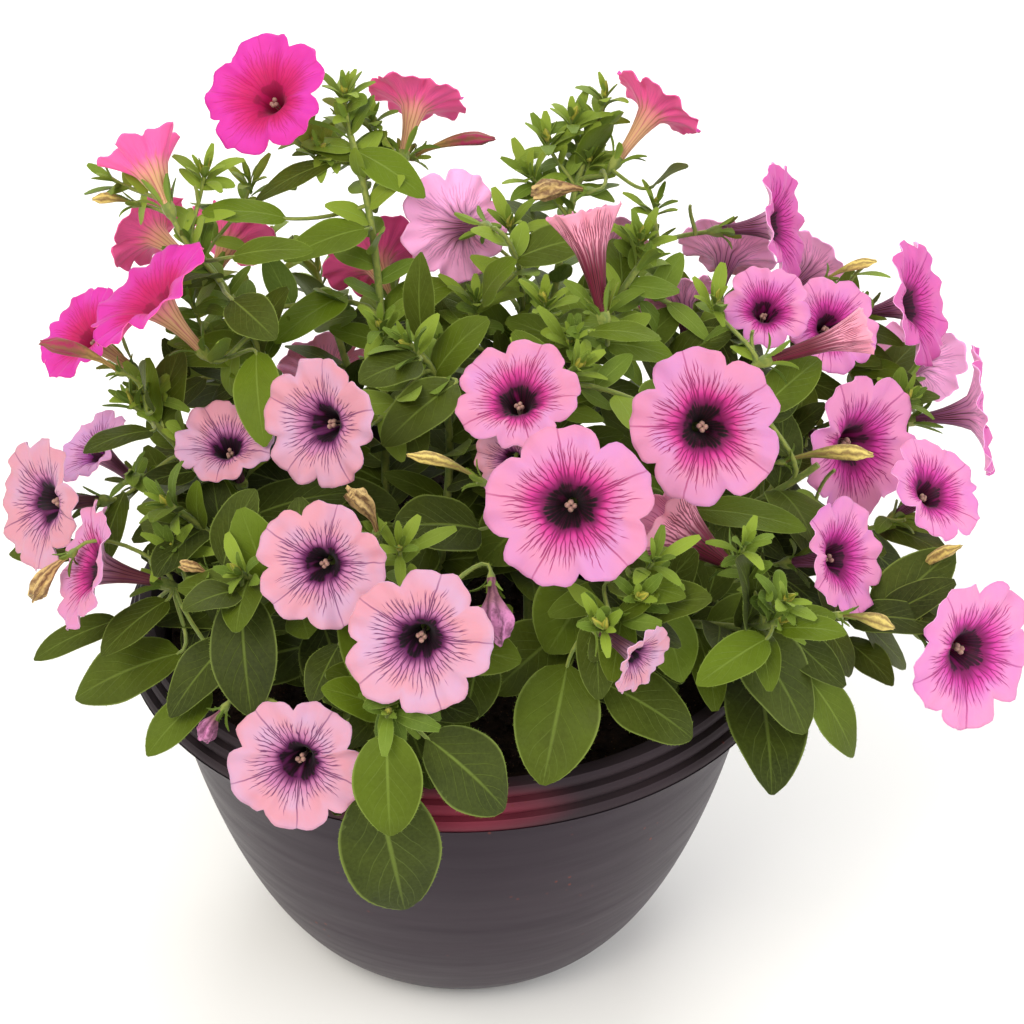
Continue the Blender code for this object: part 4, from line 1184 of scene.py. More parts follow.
@dataclass
class Gardener:
    """Works out every route by the rules that the solids follow.

    Where a rule tries several places until one stands clear, the solid's own points tell
    which try it kept: a leaf's tip, or a ring of points round a stem's path.
    """

    stem_foot: float = 142 * MM
    stem_clear: float = 171 * MM
    soil_top: float = 167 * MM
    calyx_drop: float = 3.2 * MM
    main_radius: float = 2.1 * MM
    shoot_radius: float = 1.3 * MM
    main_points: int = 7
    shoot_points: int = 4
    swings: tuple[int, ...] = (0, 12, -12, 24, -24, 36, -36)
    shoot_tries: int = 12
    leaf_tries: int = 9
    leaf_shift: float = 1.6
    leaf_long: float = 56 * MM
    leaf_short: float = 26 * MM
    leafy_height: float = 180 * MM
    pair_spacing: float = 42 * MM
    single_spacing: float = 60 * MM
    tip_gap: float = 0.1 * MM
    trees: dict[str, KDTree] = field(default_factory=dict)

    def tree(self, name: str) -> KDTree:
        """Search tree over the points of a stem's solid.

        Args:
            name: the stem's name.

        Returns:
            The tree, made once.
        """
        if name not in self.trees:
            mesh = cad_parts[f"leafy_stem_{name}"].data
            tree = KDTree(len(mesh.vertices))
            for index, vertex in enumerate(mesh.vertices):
                tree.insert(vertex.co, index)
            tree.balance()
            self.trees[name] = tree
        return self.trees[name]

    def best(self, name: str, routes: list[tuple], inner: slice, radius: float) -> tuple:
        """The route that most of the solid's points lie near, or the first of several.

        Args:
            name: the stem's name.
            routes: control points and points of each route.
            inner: which of its points count.
            radius: how near the solid's points lie, in metres.

        Returns:
            Control points and points of the route.
        """
        find = self.tree(name).find_range
        return max(routes, key=lambda route: sum(len(find(point, radius)) for point in route[1][inner]))

    def flowers(self) -> list[Flower]:
        """The flowers of the table, in metres."""
        return [Flower(number, stem, Vector(mouth) * CM, facing(azimuth, elevation), width * CM, depth * CM,
                       Colour[colour])
                for number, (stem, *mouth, azimuth, elevation, width, depth, colour) in enumerate(FLOWERS, 1)]

    def main_ends(self, name: str, swing: float) -> tuple[Vector, ...]:
        """Control points of a main stem that bows sideways.

        Args:
            name: the stem's name.
            swing: how far it bows, in metres.

        Returns:
            The four points.
        """
        root, tip = STEMS[name]
        start = Vector((root[0] * CM, root[1] * CM, self.stem_clear))
        end = Vector(tip) * CM
        reach = (end - start).length
        outward = Vector((end.x, end.y, 0)).normalized()
        bow = Vector((-outward.y, outward.x, 0)) * swing
        return (start, start + UP * 0.40 * reach + bow,
                end - (outward * 0.5 + UP * 0.5) * 0.45 * reach + bow, end)

    def shoot_ends(self, main: Path, flower: Flower, attempt: int) -> tuple[Vector, ...]:
        """Control points of the side shoot to a flower, on one of its tries.

        Args:
            main: points of the main stem.
            flower: the flower at its end.
            attempt: the number of the try.

        Returns:
            The four points.
        """
        end = flower.base - flower.axis * self.calyx_drop
        order = sorted(range(3, len(main) - 1),
                       key=lambda k: (main[k] - (end - flower.axis * 20 * MM)).length)
        start = order[(attempt // 3) % len(order)]
        reach = (end - main[start]).length
        sideways = flower.axis.cross(UP) * (0, 0.25, -0.25)[attempt % 3] * reach
        return (main[start], main[start] + tangent(main, start) * 0.35 * reach + sideways,
                end - flower.axis * 0.40 * reach + sideways, end)

    def routes(self, flowers: Sequence[Flower]) -> dict[str, StemPlan]:
        """Main stems and side shoots, each on the try that its solid kept.

        Args:
            flowers: every flower.

        Returns:
            Each stem's routes by its name.
        """
        plans = {}
        for name in STEMS:
            foot = Vector((*STEMS[name][0], 0)) * CM + UP * self.stem_foot
            tries = [self.main_ends(name, swing * MM) for swing in self.swings]
            routes = [(ends, [foot, *bezier(ends, self.main_points)]) for ends in tries]
            plans[name] = StemPlan(name, *self.best(name, routes, slice(2, -1), 1.3 * self.main_radius))
        for flower in flowers:
            plan = plans[flower.stem]
            tries = [self.shoot_ends(plan.main, flower, attempt) for attempt in range(self.shoot_tries)]
            routes = [(ends, bezier(ends, self.shoot_points)) for ends in tries]
            ends, shoot = self.best(plan.name, routes, slice(1, -1), 1.4 * self.shoot_radius)
            plan.shoot_ends.append(ends)
            plan.shoots.append(shoot)
            plan.flowers.append(flower)
        return plans

    @staticmethod
    def lit_side(place: Vector) -> Vector:
        """Way that the upper face of a leaf turns: up, and to the front or the back."""
        outward = Vector((place.x, place.y, 0)).normalized()
        front = min(max((130 * MM - place.y) / (50 * MM), 0), 1)
        return Vector((0.3 * outward.x, 0.6 * outward.y * (1 - front) - 0.4 * front, 0.9))

    def kept(self, name: str, tip: Vector) -> bool:
        """Whether the solid has a leaf that ends at this place."""
        return self.tree(name).find(tip)[2] < self.tip_gap

    def large_leaves(self, plans: dict[str, StemPlan]) -> None:
        """Leaves with a place of their own.

        Args:
            plans: every stem's routes, which take the leaves.
        """
        for index, (name, *places, width) in enumerate(LEAVES):
            plan = plans[name]
            draw = random.Random(500 + index)
            base, tip = Vector(places[:3]) * CM, Vector(places[3:]) * CM
            root = nearest_on(plan.paths, base)
            for attempt in range(self.leaf_tries):
                shift = Vector([draw.uniform(-1, 1) for _ in range(3)]) * attempt * self.leaf_shift * MM
                if self.kept(name, tip + shift):
                    plan.leaves.append(Leaf(root, base + shift * 0.4, tip + shift, width * CM,
                                            self.lit_side(base), 0.07, True))
                    break

    def small_leaves(self, plans: dict[str, StemPlan]) -> None:
        """Leaves by rule: pairs along each main stem and single ones along its shoots.

        Args:
            plans: every stem's routes, which take the leaves.
        """
        for name, plan in plans.items():
            for number, path in enumerate(plan.paths):
                spacing = self.single_spacing if number else self.pair_spacing
                sites = int(path_length(path) / spacing + 0.4)
                for site in range(sites):
                    for pair in (0, 1) if number == 0 else (site % 2,):
                        draw = random.Random(f"{name}{number}.{site}.{pair}")
                        leaf = self.small_leaf(name, path, (site + 0.7) / (sites + 0.2), site, pair, draw)
                        if leaf:
                            plan.leaves.append(leaf)

    def small_leaf(self, name: str, path: Path, share: float, site: int, pair: int,
                   draw: random.Random) -> Leaf | None:
        """One leaf by rule, on the try that its solid kept.

        Args:
            name: the stem's name.
            path: the path that it grows from.
            share: where along the path, 0 to 1.
            site: its number along the path.
            pair: which of a pair it is.
            draw: seeded random numbers.

        Returns:
            The leaf, or None where the solid has none.
        """
        root, index = place_on(path, share)
        along = tangent(path, index)
        height = min((root.z - self.soil_top) / self.leafy_height, 1.0)
        for attempt in range(self.leaf_tries):
            turn = math.radians(90 * (site % 2) + 180 * pair + draw.uniform(-40, 40))
            length = (self.leaf_long + (self.leaf_short - self.leaf_long) * height) * draw.uniform(0.85, 1.15)
            length *= 1 - 0.05 * attempt
            ratio = draw.uniform(0.50, 0.64)
            lean = draw.uniform(0.0, 0.5)
            side = across(along, Vector((1, 0.2, 0)))
            over = along.cross(side)
            outward = Vector((root.x, root.y, 0)) * (5.0 * height + 0.8 * attempt)
            heading = (turned(side, over, turn) + along * lean + outward).normalized()
            tip = root + heading * length
            if self.kept(name, tip):
                return Leaf(root, root, tip, length * ratio, self.lit_side(root), 0.08, False)
        return None


@dataclass
class Clearings:
    """Space that the flowers keep free: their own trumpets, and what lies before their faces."""

    flowers: Sequence[Flower]
    eye: Vector
    ahead: float = 45 * MM
    margin: float = 1.5 * MM
    sight: float = 120 * MM
    bowl_outside: float = 153 * MM
    bowl_inside: float = 132 * MM
    bowl_height: float = 181 * MM
    soil_height: float = 168 * MM
    foot: float = 3 * MM

    def __post_init__(self) -> None:
        """Keep the flowers' places as arrays."""
        self.mouths = np.array([f.mouth for f in self.flowers])
        self.axes = np.array([f.axis for f in self.flowers])
        self.halves = np.array([f.width / 2 for f in self.flowers])
        self.depths = np.array([f.depth for f in self.flowers])
        self.sights = unit(np.array(self.eye) - self.mouths)
        self.seen = np.einsum("ij,ij->i", self.axes, self.sights) > 0.35

    def free(self, points: Array) -> bool:
        """Whether points stay out of every trumpet, face and line of sight, and out of the bowl.

        A point is in a trumpet when its distance from the axis is under the profile's radius at
        its height along the axis, and before a face when it is within the face's outline ahead
        of the mouth or towards the eye.

        Args:
            points: one a row.

        Returns:
            True where nothing is in the way.
        """
        offset = points[:, None] - self.mouths[None]
        height = np.einsum("pfk,fk->pf", offset, self.axes)
        radial = np.linalg.norm(offset - height[..., None] * self.axes[None], axis=2)
        share = np.clip(1 + height / self.depths, 0, 1)
        profile = self.foot + (self.halves - self.foot) * share ** 4 + self.margin
        inside = (height > -self.depths) & (height < 4 * MM) & (radial < profile)
        before = (height >= 0) & (height < self.ahead) & (radial < 0.9 * self.halves)
        towards = np.einsum("pfk,fk->pf", offset, self.sights)
        beside = np.linalg.norm(offset - towards[..., None] * self.sights[None], axis=2)
        hiding = self.seen & (towards > 0) & (towards < self.sight) & (beside < 0.85 * self.halves)
        reach = np.linalg.norm(points[:, :2], axis=1)
        sunk = (points[:, 2] < self.bowl_height) & (reach > self.bowl_inside) & (reach < self.bowl_outside)
        buried = (points[:, 2] < self.soil_height) & (reach <= self.bowl_inside)
        return not (inside.any() or before.any() or hiding.any() or sunk.any() or buried.any())


# ---------------------------------------------------------------- green forms
@dataclass(frozen=True)
class BladeShape:
    """How a family of blades is drawn: its outline, thickness, fold, waves and fineness.

    The half width at a share s of the length is half (sin(pi s^lead))^round, never under the
    stalk's own half width near the base. The blade is lifted by fold times the half width and
    |t|^1.4 towards its edges, and by waves times sin along both edges.
    """

    rows: int
    columns: int
    lead: float = 0.85
    round: float = 0.78
    thickness: float = 0.7 * MM
    fold: float = 0.10
    wave: float = 0.10
    stalk: float = 0.9 * MM
    end: float = 0.995

    WAVES = 1.4
    KEEL = 1.2
    LEAST = 0.12 * MM

    def grid(self, spine: Array, guide: Array, half: float,
             phase: float) -> tuple[Array, Array, Array, Array]:
        """Closed skin of a blade: the top from left to right edge, then the underside back.

        Args:
            spine: points along the midrib, rows by 3.
            guide: the way that the upper face looks.
            half: half of the widest width, in metres.
            phase: random phase of the waves.

        Returns:
            Points, coordinates across and along, and 1 for each column of the underside.
        """
        s = np.linspace(0.0, 1.0, len(spine))
        side, upper = sweep_frames(spine, guide)
        outline = half * np.sin(np.pi * np.clip(s, 0, self.end) ** self.lead) ** self.round
        width = np.maximum(np.hypot(outline, self.stalk * (1 - smooth_step(0.0, 0.25, s))), self.LEAST)
        top = np.linspace(-1.0, 1.0, self.columns)
        t = np.concatenate([top, top[-2:0:-1]])
        under = np.concatenate([np.zeros(self.columns), np.ones(self.columns - 2)])
        swell = (1 - t * t) * np.where(under > 0, -1.0, 1.0)
        keel = np.exp(-(t / 0.25) ** 2) * under * -self.KEEL
        waves = self.wave * np.sin(math.tau * self.WAVES * s + phase)
        lift = width[:, None] * (self.fold * np.abs(t) ** 1.4
                                 + waves[:, None] * t ** 2 * np.where(t > 0, 1.0, -0.8))
        body = self.thickness * (0.5 * swell + 0.5 * keel) * np.minimum(1.0, width / (2 * MM))[:, None]
        grid = spine[:, None] + side[:, None] * (width[:, None] * t)[..., None]
        return grid + upper[:, None] * (lift + body)[..., None], np.append((t + 1) / 2, 0.0), s, under

    def add(self, stock: Stock, spine: Array, guide: Vector, half: float, slot: Green, tone: float,
            hairs: int = 0) -> None:
        """Add one blade.

        Args:
            stock: where the surfaces go.
            spine: points along the midrib, rows by 3.
            guide: the way that the upper face looks.
            half: half of the widest width, in metres.
            slot: material slot.
            tone: random number for its colour and its waves.
            hairs: how many stand along each edge.
        """
        grid, across_shares, along_shares, under = self.grid(spine, np.array(guide), half, 20 * tone)
        stock.add_grid(grid, across_shares, along_shares, slot, tone, under=under)
        for edge in (0, self.columns - 1):
            draw = np.random.default_rng(int(1e6 * tone) + edge)
            stock.add_hairs((grid, spine), edge, draw.uniform(0.3, len(spine) - 1.2, hairs), draw, (0.5, 1.1))


LARGE_BLADE = BladeShape(16, 9, round=0.60)
SMALL_BLADE = BladeShape(11, 5, wave=0.08, round=0.55, end=0.985)
NARROW_BLADE = BladeShape(9, 5, lead=1.55, round=0.60, thickness=0.8 * MM, fold=0.16, wave=0.03,
                          stalk=0.8 * MM, end=0.96)


@dataclass
class Calyx:
    """Green cup under a flower, with five narrow sepals that spread round its tube."""

    length: tuple[float, float] = (11 * MM, 18 * MM)
    half_width: float = 1.7 * MM
    size: float = 1.0
    hairs: int = 14
    cup: tuple[tuple[float, float], ...] = ((0.9, -6), (1.5, -4), (2.4, -2), (2.9, 0), (2.9, 2), (2.6, 3.2))

    def build(self, stock: Stock, flower: Flower) -> None:
        """Add the cup and its sepals.

        The cup's radius grows from the stalk's to the tube's. Each sepal starts on the cup and
        turns outwards from the flower's axis.

        Args:
            stock: where the surfaces go.
            flower: the flower that it holds.
        """
        draw = random.Random(700 + flower.number)
        cup = [(self.size * radius * MM, self.size * height * MM) for radius, height in self.cup]
        add_lathe(stock, flower.base, flower.axis, cup, 10, Green.STEM, draw.random(), 0.05)
        side, up = frame_of(flower.axis)
        for sepal in range(PETALS):
            outward = turned(side, up, math.tau * (sepal + 0.5 + draw.uniform(-0.2, 0.2)) / PETALS)
            base = flower.base + outward * 1.8 * MM * self.size - flower.axis * MM
            spine = bent(base, flower.axis, outward, draw.uniform(*self.length) * self.size,
                         draw.uniform(5, 25), draw.uniform(30, 95), NARROW_BLADE.rows)
            guide, half = flower.axis * 0.3 - outward, self.half_width * self.size * draw.uniform(0.85, 1.2)
            NARROW_BLADE.add(stock, spine, guide, half, Green.YOUNG, draw.random(), self.hairs)


@dataclass
class Rosette:
    """Tuft at a young tip: spoon-shaped leaves in turns of 137 degrees round its buds."""

    leaves: tuple[int, int] = (8, 11)
    buds: tuple[int, int] = (1, 3)
    bud_rings: int = 7
    hairs: int = 10

    def build(self, stock: Stock, tip: Vector, axis: Vector, buds: bool, draw: random.Random,
              clearings: Clearings) -> None:
        """Add the leaves that stand clear of the flowers, then the buds.

        A bud's radius at a share k of its length is wide sin(pi k^0.8)^0.8 + 0.15 mm.

        Args:
            stock: where the surfaces go.
            tip: end of the shoot.
            axis: direction of the shoot.
            buds: whether it bears buds.
            draw: seeded random numbers.
            clearings: space that the flowers keep.
        """
        side, up = frame_of(axis)
        count = draw.randint(*self.leaves)
        for leaf in range(count):
            outer = leaf / count
            outward = turned(side, up, GOLDEN * leaf + draw.uniform(-0.3, 0.3))
            length = (23 - 15 * outer) * draw.uniform(0.8, 1.2) * MM
            bends = draw.uniform(15, 35) * (1.3 - outer), draw.uniform(55, 100) * (1.15 - outer)
            spine = bent(tip - axis * (9 - 9 * outer) * MM, axis, outward, length, *bends, NARROW_BLADE.rows)
            if clearings.free(spine[2:]):
                NARROW_BLADE.add(stock, spine, axis * 0.8 - outward, length * draw.uniform(0.10, 0.15),
                                 Green.YOUNG, draw.uniform(0.1, 1.0), self.hairs)
        for _ in range(draw.randint(*self.buds) if buds else 0):
            lean = (axis + Vector([draw.uniform(-0.5, 0.5) for _ in range(3)])).normalized()
            long, wide = draw.uniform(4, 9) * MM, draw.uniform(1.1, 1.7) * MM
            shares = [ring / self.bud_rings for ring in range(self.bud_rings + 1)]
            profile = [(wide * math.sin(math.pi * min(k, 0.985) ** 0.8) ** 0.8 + 0.15 * MM, long * k)
                       for k in shares]
            if clearings.free(np.array([tip + lean * long])):
                add_lathe(stock, tip - lean * MM, lean, profile, 10, Green.BUD, draw.random(), 0.10)


@dataclass(frozen=True)
class Spent:
    """A flower that has folded shut, or has yet to open: a slim tube with a furled end.

    At a share s of the length the radius is half its width times 0.30 + 0.70 e(0.15, 0.75),
    less furl times e(0.82, 1), where e is an eased step of s. It is fluted by a share of the
    radius times cos(5 a + twist s) and bends by an arch of 4s(1-s). A crumpled one furls less
    and is fluted deeper, with small creases by cos(13 a + 9 s) and a torn end.
    """

    kind: Green
    foot: Vector
    tip: Vector
    width: float
    number: int

    ROWS = 20
    COLUMNS = 30
    TWIST = 5.0
    ARCH = 0.08

    @property
    def axis(self) -> Vector:
        """Direction from its foot to its tip."""
        return (self.tip - self.foot).normalized()

    def build(self, stock: Stock) -> None:
        """Add the furled flower and its calyx.

        Args:
            stock: where the surfaces go.
        """
        draw = random.Random(1500 + self.number)
        s = np.linspace(0, 1, self.ROWS)[:, None]
        angle = round_angles(self.COLUMNS)
        crumpled = self.kind in (Green.WILTED, Green.FOLDED)
        furl, flutes, creases, torn = (0.30, 0.26, 0.14, 0.06) if crumpled else (0.72, 0.13, 0.0, 0.02)
        swell = 0.30 + 0.70 * smooth_step(0.15, 0.75, s) - furl * smooth_step(0.82, 1.0, s)
        flute = np.cos(PETALS * angle + self.TWIST * s + draw.uniform(0, 6))
        radius = self.width / 2 * swell * (1 + flutes * smooth_step(0.1, 0.7, s) * flute)
        radius = radius * (1 + creases * smooth_step(0.4, 0.9, s) * np.cos(13 * angle + 9 * s))
        length = (self.tip - self.foot).length
        ragged = torn * smooth_step(0.8, 1.0, s) * np.cos(3 * angle + draw.uniform(0, 6))
        bow = (4 * s * (1 - s) * self.ARCH * length)[..., None] * np.array(frame_of(self.axis)[1])
        grid = bow + around(self.foot, self.axis, 0, angle, radius, (s + ragged) * length)
        stock.add_grid(grid, np.linspace(0, 1, self.COLUMNS + 1), s[:, 0], self.kind, draw.random())
        flower = Flower(self.number + 100, "", self.tip, self.axis, self.width, length, Colour.FADED)
        Calyx(size=0.62).build(stock, flower)


@dataclass
class Foliage:
    """One leafy stem in full: stems, leaves, calyces, young tips and infill leaves."""

    plan: StemPlan
    clearings: Clearings
    main_radii: tuple[float, ...] = (2.1, 1.9, 1.5)
    shoot_radii: tuple[float, ...] = (1.3, 1.1, 1.1)
    sprig_radii: tuple[float, ...] = (1.1, 0.8)
    stalk_radii: tuple[float, ...] = (1.0, 0.8)
    stem_sides: int = 8
    stalk_sides: int = 6
    stem_hairs: float = 3.0
    leaf_hairs: float = 0.7
    sprig_hairs: int = 12
    large_width: float = 22 * MM
    infill_gap: float = 7 * MM
    infill_low: float = 170 * MM
    infill_span: float = 140 * MM
    stock: Stock = field(default_factory=Stock)

    def tube(self, path: Path, radii: Sequence[float], sides: int, tone: float, hairs: float) -> None:
        """Add a stem whose radii, in millimetres, are spread evenly along its path."""
        values = np.interp(np.linspace(0, 1, len(path)), np.linspace(0, 1, len(radii)), radii) * MM
        add_tube(self.stock, path, values, sides, tone, hairs)

    def stalk(self, root: Vector, end: Vector, axis: Vector, ease: float) -> list[Vector]:
        """Route of a stalk that rises from a stem and ends along an axis, eased by a share of its reach."""
        reach = (end - root).length
        return bezier((root, root + UP * 0.3 * reach, end - axis * ease * reach, end), 10)

    def stems(self) -> None:
        """Add the main stem and its side shoots, each along its own curve."""
        main = [self.plan.main[0], *bezier(self.plan.main_ends, 22)]
        self.tube(main, self.main_radii, self.stem_sides, 0.4, self.stem_hairs)
        for ends in self.plan.shoot_ends:
            self.tube(bezier(ends, 14), self.shoot_radii, self.stem_sides, 0.6, self.stem_hairs)

    def leaves(self) -> None:
        """Add every leaf that the solid has, with its stalk where its base stands off from the stem."""
        draw = random.Random(f"leaves {self.plan.name}")
        for leaf in self.plan.leaves:
            shape = LARGE_BLADE if leaf.large or leaf.width > self.large_width else SMALL_BLADE
            along = leaf.tip - leaf.base
            length = along.length
            lift = leaf.arch * length * np.array(across(along / length, leaf.normal))
            spine = arched(leaf.base, np.array(along), lift, shape.rows)
            shape.add(self.stock, spine, leaf.normal, leaf.width / 2, Green.LEAF, draw.random(),
                      int(length / MM * self.leaf_hairs))
            drop = (leaf.base - leaf.root).length
            if drop > 3 * MM:
                ends = (leaf.root, leaf.root.lerp(leaf.base, 0.4) - UP * 0.08 * drop,
                        leaf.base - along / length * 0.3 * drop, leaf.base + along * 0.04)
                self.tube(bezier(ends, 8), self.stalk_radii, self.stalk_sides, draw.random(), 0.0)

    def infill(self) -> None:
        """Add the smaller leaves between them, wherever one stands clear of the flowers.

        Sites follow each other along every path at an even gap, turned by the golden angle.
        """
        for number, path in enumerate(self.plan.paths):
            sites = int(path_length(path) / self.infill_gap)
            for site in range(2, sites):
                draw = random.Random(f"infill {self.plan.name}{number}.{site}")
                root, index = place_on(path, site / sites)
                along = (path[index + 1] - path[index]).normalized()
                outward = turned(*frame_of(along), GOLDEN * site + draw.uniform(-0.4, 0.4))
                away = Vector((root.x, root.y, 0)) * 2.5
                heading = (outward + along * draw.uniform(0.2, 0.7) + away).normalized()
                high = min(max((root.z - self.infill_low) / self.infill_span, 0), 1)
                long = draw.uniform(0.8, 1.25) * (40 - 21 * high) * MM
                half = long * draw.uniform(0.20, 0.27)
                guide = across(heading, Gardener.lit_side(root))
                lift = draw.uniform(-0.02, 0.10) * long * np.array(guide)
                spine = arched(root, np.array(heading) * long, lift, SMALL_BLADE.rows)
                edge = np.array(heading.cross(guide)) * half
                slot = Green.YOUNG if high > 0.75 else Green.LEAF
                if self.clearings.free(np.concatenate([spine[2:], spine[3:8] + edge, spine[3:8] - edge])):
                    SMALL_BLADE.add(self.stock, spine, guide, half, slot, draw.uniform(0.0, 0.9))

    def tip(self) -> None:
        """End the main stem in a rosette."""
        draw = random.Random(f"tip {self.plan.name}")
        axis = tangent(self.plan.main, len(self.plan.main) - 1)
        Rosette().build(self.stock, self.plan.main[-1], axis, True, draw, self.clearings)

    def sprig(self, number: int, row: list) -> None:
        """Add a young side shoot with small leaves, from the nearest stem to its own tip.

        Args:
            number: its row in the table.
            row: tip in centimetres, azimuth and elevation of its lean, and bud or bare.
        """
        *tip, azimuth, elevation, buds = row
        draw = random.Random(900 + number)
        end, axis = Vector(tip) * CM, facing(azimuth, elevation)
        path = self.stalk(nearest_on(self.plan.paths, end - axis * 12 * MM - UP * 12 * MM), end, axis, 0.4)
        self.tube(path, self.sprig_radii, self.stalk_sides, draw.random(), self.stem_hairs)
        Rosette().build(self.stock, end, axis, buds == "bud", draw, self.clearings)
        for site in range(3, 9, 2):
            along = tangent(path, site)
            side, _ = frame_of(along, draw.uniform(0, 360))
            for way in (1, -1):
                heading = (side * way + along * draw.uniform(0.3, 0.9)).normalized()
                long = draw.uniform(12, 20) * MM
                spine = bent(path[site], heading, -UP, long, -10, draw.uniform(10, 50), SMALL_BLADE.rows)
                guide = across(heading, FRONT_UP)
                if self.clearings.free(spine[2:]):
                    SMALL_BLADE.add(self.stock, spine, guide, long * draw.uniform(0.15, 0.24), Green.YOUNG,
                                    draw.random(), self.sprig_hairs)

    def spent(self, flower: Spent) -> None:
        """Add a shut or spent flower on a stalk from the nearest stem.

        Args:
            flower: the flower, with its place and size.
        """
        end, axis = flower.foot - flower.axis * 3 * MM, flower.axis
        root = nearest_on(self.plan.paths, end - axis * 10 * MM - UP * 15 * MM)
        path = self.stalk(root, end, axis, 0.35)
        self.tube(path, self.stalk_radii, self.stalk_sides, 0.5, self.stem_hairs)
        flower.build(self.stock)

    def build(self, sprigs: Sequence[tuple[int, list]], spent: Sequence[Spent],
              materials: Sequence[Material]) -> Piece:
        """Build the whole stem as one piece.

        Args:
            sprigs: numbered rows of the table that grow from this stem.
            spent: its shut and spent flowers.
            materials: the green finishes in slot order.

        Returns:
            The piece, riding on the row's body in place of its solid.
        """
        self.stems()
        self.leaves()
        for flower in self.plan.flowers:
            Calyx().build(self.stock, flower)
        self.infill()
        self.tip()
        for number, row in sprigs:
            self.sprig(number, row)
        for flower in spent:
            self.spent(flower)
        piece = self.stock.make(f"greenery_{self.plan.name}", materials)
        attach(piece, "root")
        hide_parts(f"leafy_stem_{self.plan.name}")
        return piece


# ---------------------------------------------------------------- flowers
@dataclass
class Bloom:
    """Trumpet of five joined petals: a narrow tube that opens into a waved limb.

    Along the tube, with q from 0 to 1, the radius is foot + (throat - foot) q^flare and the
    height is tube of the depth times q. Over the limb, with r from 0 to 1, the radius runs to
    the outline half (1 - notch (2|a|)^5 - dent) and the height to the full depth, by
    1 - (1 - r)^2.2, or by r^0.9 in a half-open funnel. Here a is the angle from the lobe's
    midrib, from -0.5 to 0.5 of a lobe.
    """

    flower: Flower
    tube_rows: int = 8
    limb_rows: int = 13
    columns: int = 90
    foot: float = 2.3 * MM
    notch: float = 0.19
    dent: float = 0.015
    skin: float = 0.35 * MM

    DEEP = (12, 17, 18, 19)

    def sheet(self) -> tuple[Array, Array]:
        """Points of the trumpet and the height coordinate of each row.

        Returns:
            The grid, rows by columns by 3, and the heights.
        """
        f = self.flower
        draw = random.Random(100 + f.number - 1)
        roll = draw.uniform(0, 72)
        half = f.width / 2
        waves = np.array([draw.uniform(-1, 1) * 0.05 * half for _ in range(PETALS)])
        phases = [draw.uniform(0, math.tau) for _ in range(4)]
        lobe = np.arange(self.columns) * PETALS / self.columns
        a = lobe % 1.0 - 0.5
        angle = lobe * math.tau / PETALS
        shares = np.linspace(0, 1, self.limb_rows + 1)[1:]
        q, r = np.linspace(0, 1, self.tube_rows), shares ** 0.9
        uneven = (1 + 0.025 * np.sin(2 * angle + phases[0]) + 0.016 * np.sin(13 * angle + phases[1])
                  + 0.010 * np.sin(22 * angle + phases[3]))
        outline = half * uneven * (1 - self.notch * np.abs(2 * a) ** 5 - self.dent * np.exp(-(a / 0.04) ** 2))
        throat, flare, tube, rise, squeeze = (
            (0.45 * half, 1.5, 0.60, r ** 0.9, 0.22) if f.funnel
            else (max(1.4 * self.foot, 0.26 * half), 2.5, 0.80, 1 - (1 - r) ** 2.2, 0.0))
        pipe = np.outer(self.foot + (throat - self.foot) * q ** flare, np.ones(self.columns))
        radius = np.concatenate([pipe, throat + r[:, None] * (outline - throat)])
        height = f.depth * np.concatenate([tube * q, tube + (1 - tube) * rise])[:, None]
        limb = np.concatenate([np.zeros(self.tube_rows), r])[:, None]
        lift = np.interp(lobe, np.arange(-0.5, PETALS + 1), np.concatenate([[waves[-1]], waves, [waves[0]]]))
        ruffle = half * (0.045 * np.sin(10 * angle + phases[2]) + 0.032 * np.sin(17 * angle + phases[3]))
        crease = half * (0.035 * np.exp(-((np.abs(a) - 0.5) / 0.09) ** 2) - 0.030 * np.exp(-(a / 0.07) ** 2))
        radius = radius * (1 - squeeze * limb * np.cos(math.tau * lobe))
        height = height + limb ** 2 * (lift + ruffle) + np.sin(np.pi * np.minimum(limb, 0.85)) * crease
        mouth = PetalFinish.MOUTH
        return around(f.base, f.axis, roll, angle, radius, height), np.concatenate(
            [mouth * q, mouth + (1 - mouth) * shares])

    def build(self, skins: dict[Colour, tuple[Material, Material]]) -> Piece:
        """Build the flower as a thin-walled piece. Those of DEEP have the deepest colour, at a tone of 1.

        Args:
            skins: outer and inner material of each colour group.

        Returns:
            The piece, riding on the row's body in place of its solid.
        """
        grid, shares = self.sheet()
        stock = Stock()
        number = self.flower.number
        tone = 1.0 if number in self.DEEP else 0.9 * random.Random(300 + number).random()
        stock.add_grid(grid, np.linspace(0, PETALS, self.columns + 1), shares, tone=tone, caps=False)
        fading = self.flower.funnel and self.flower.colour is Colour.MAUVE
        skin = skins[Colour.FADED if fading else self.flower.colour]
        piece = stock.make(f"bloom_{number:02d}", skin, sharp=180)
        wall = piece.modifiers.new("petal", "SOLIDIFY")
        wall.thickness = self.skin
        wall.offset = -1
        wall.material_offset = 1
        wall.material_offset_rim = 0
        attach(piece, "root")
        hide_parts(f"flower_{number:02d}")
        return piece


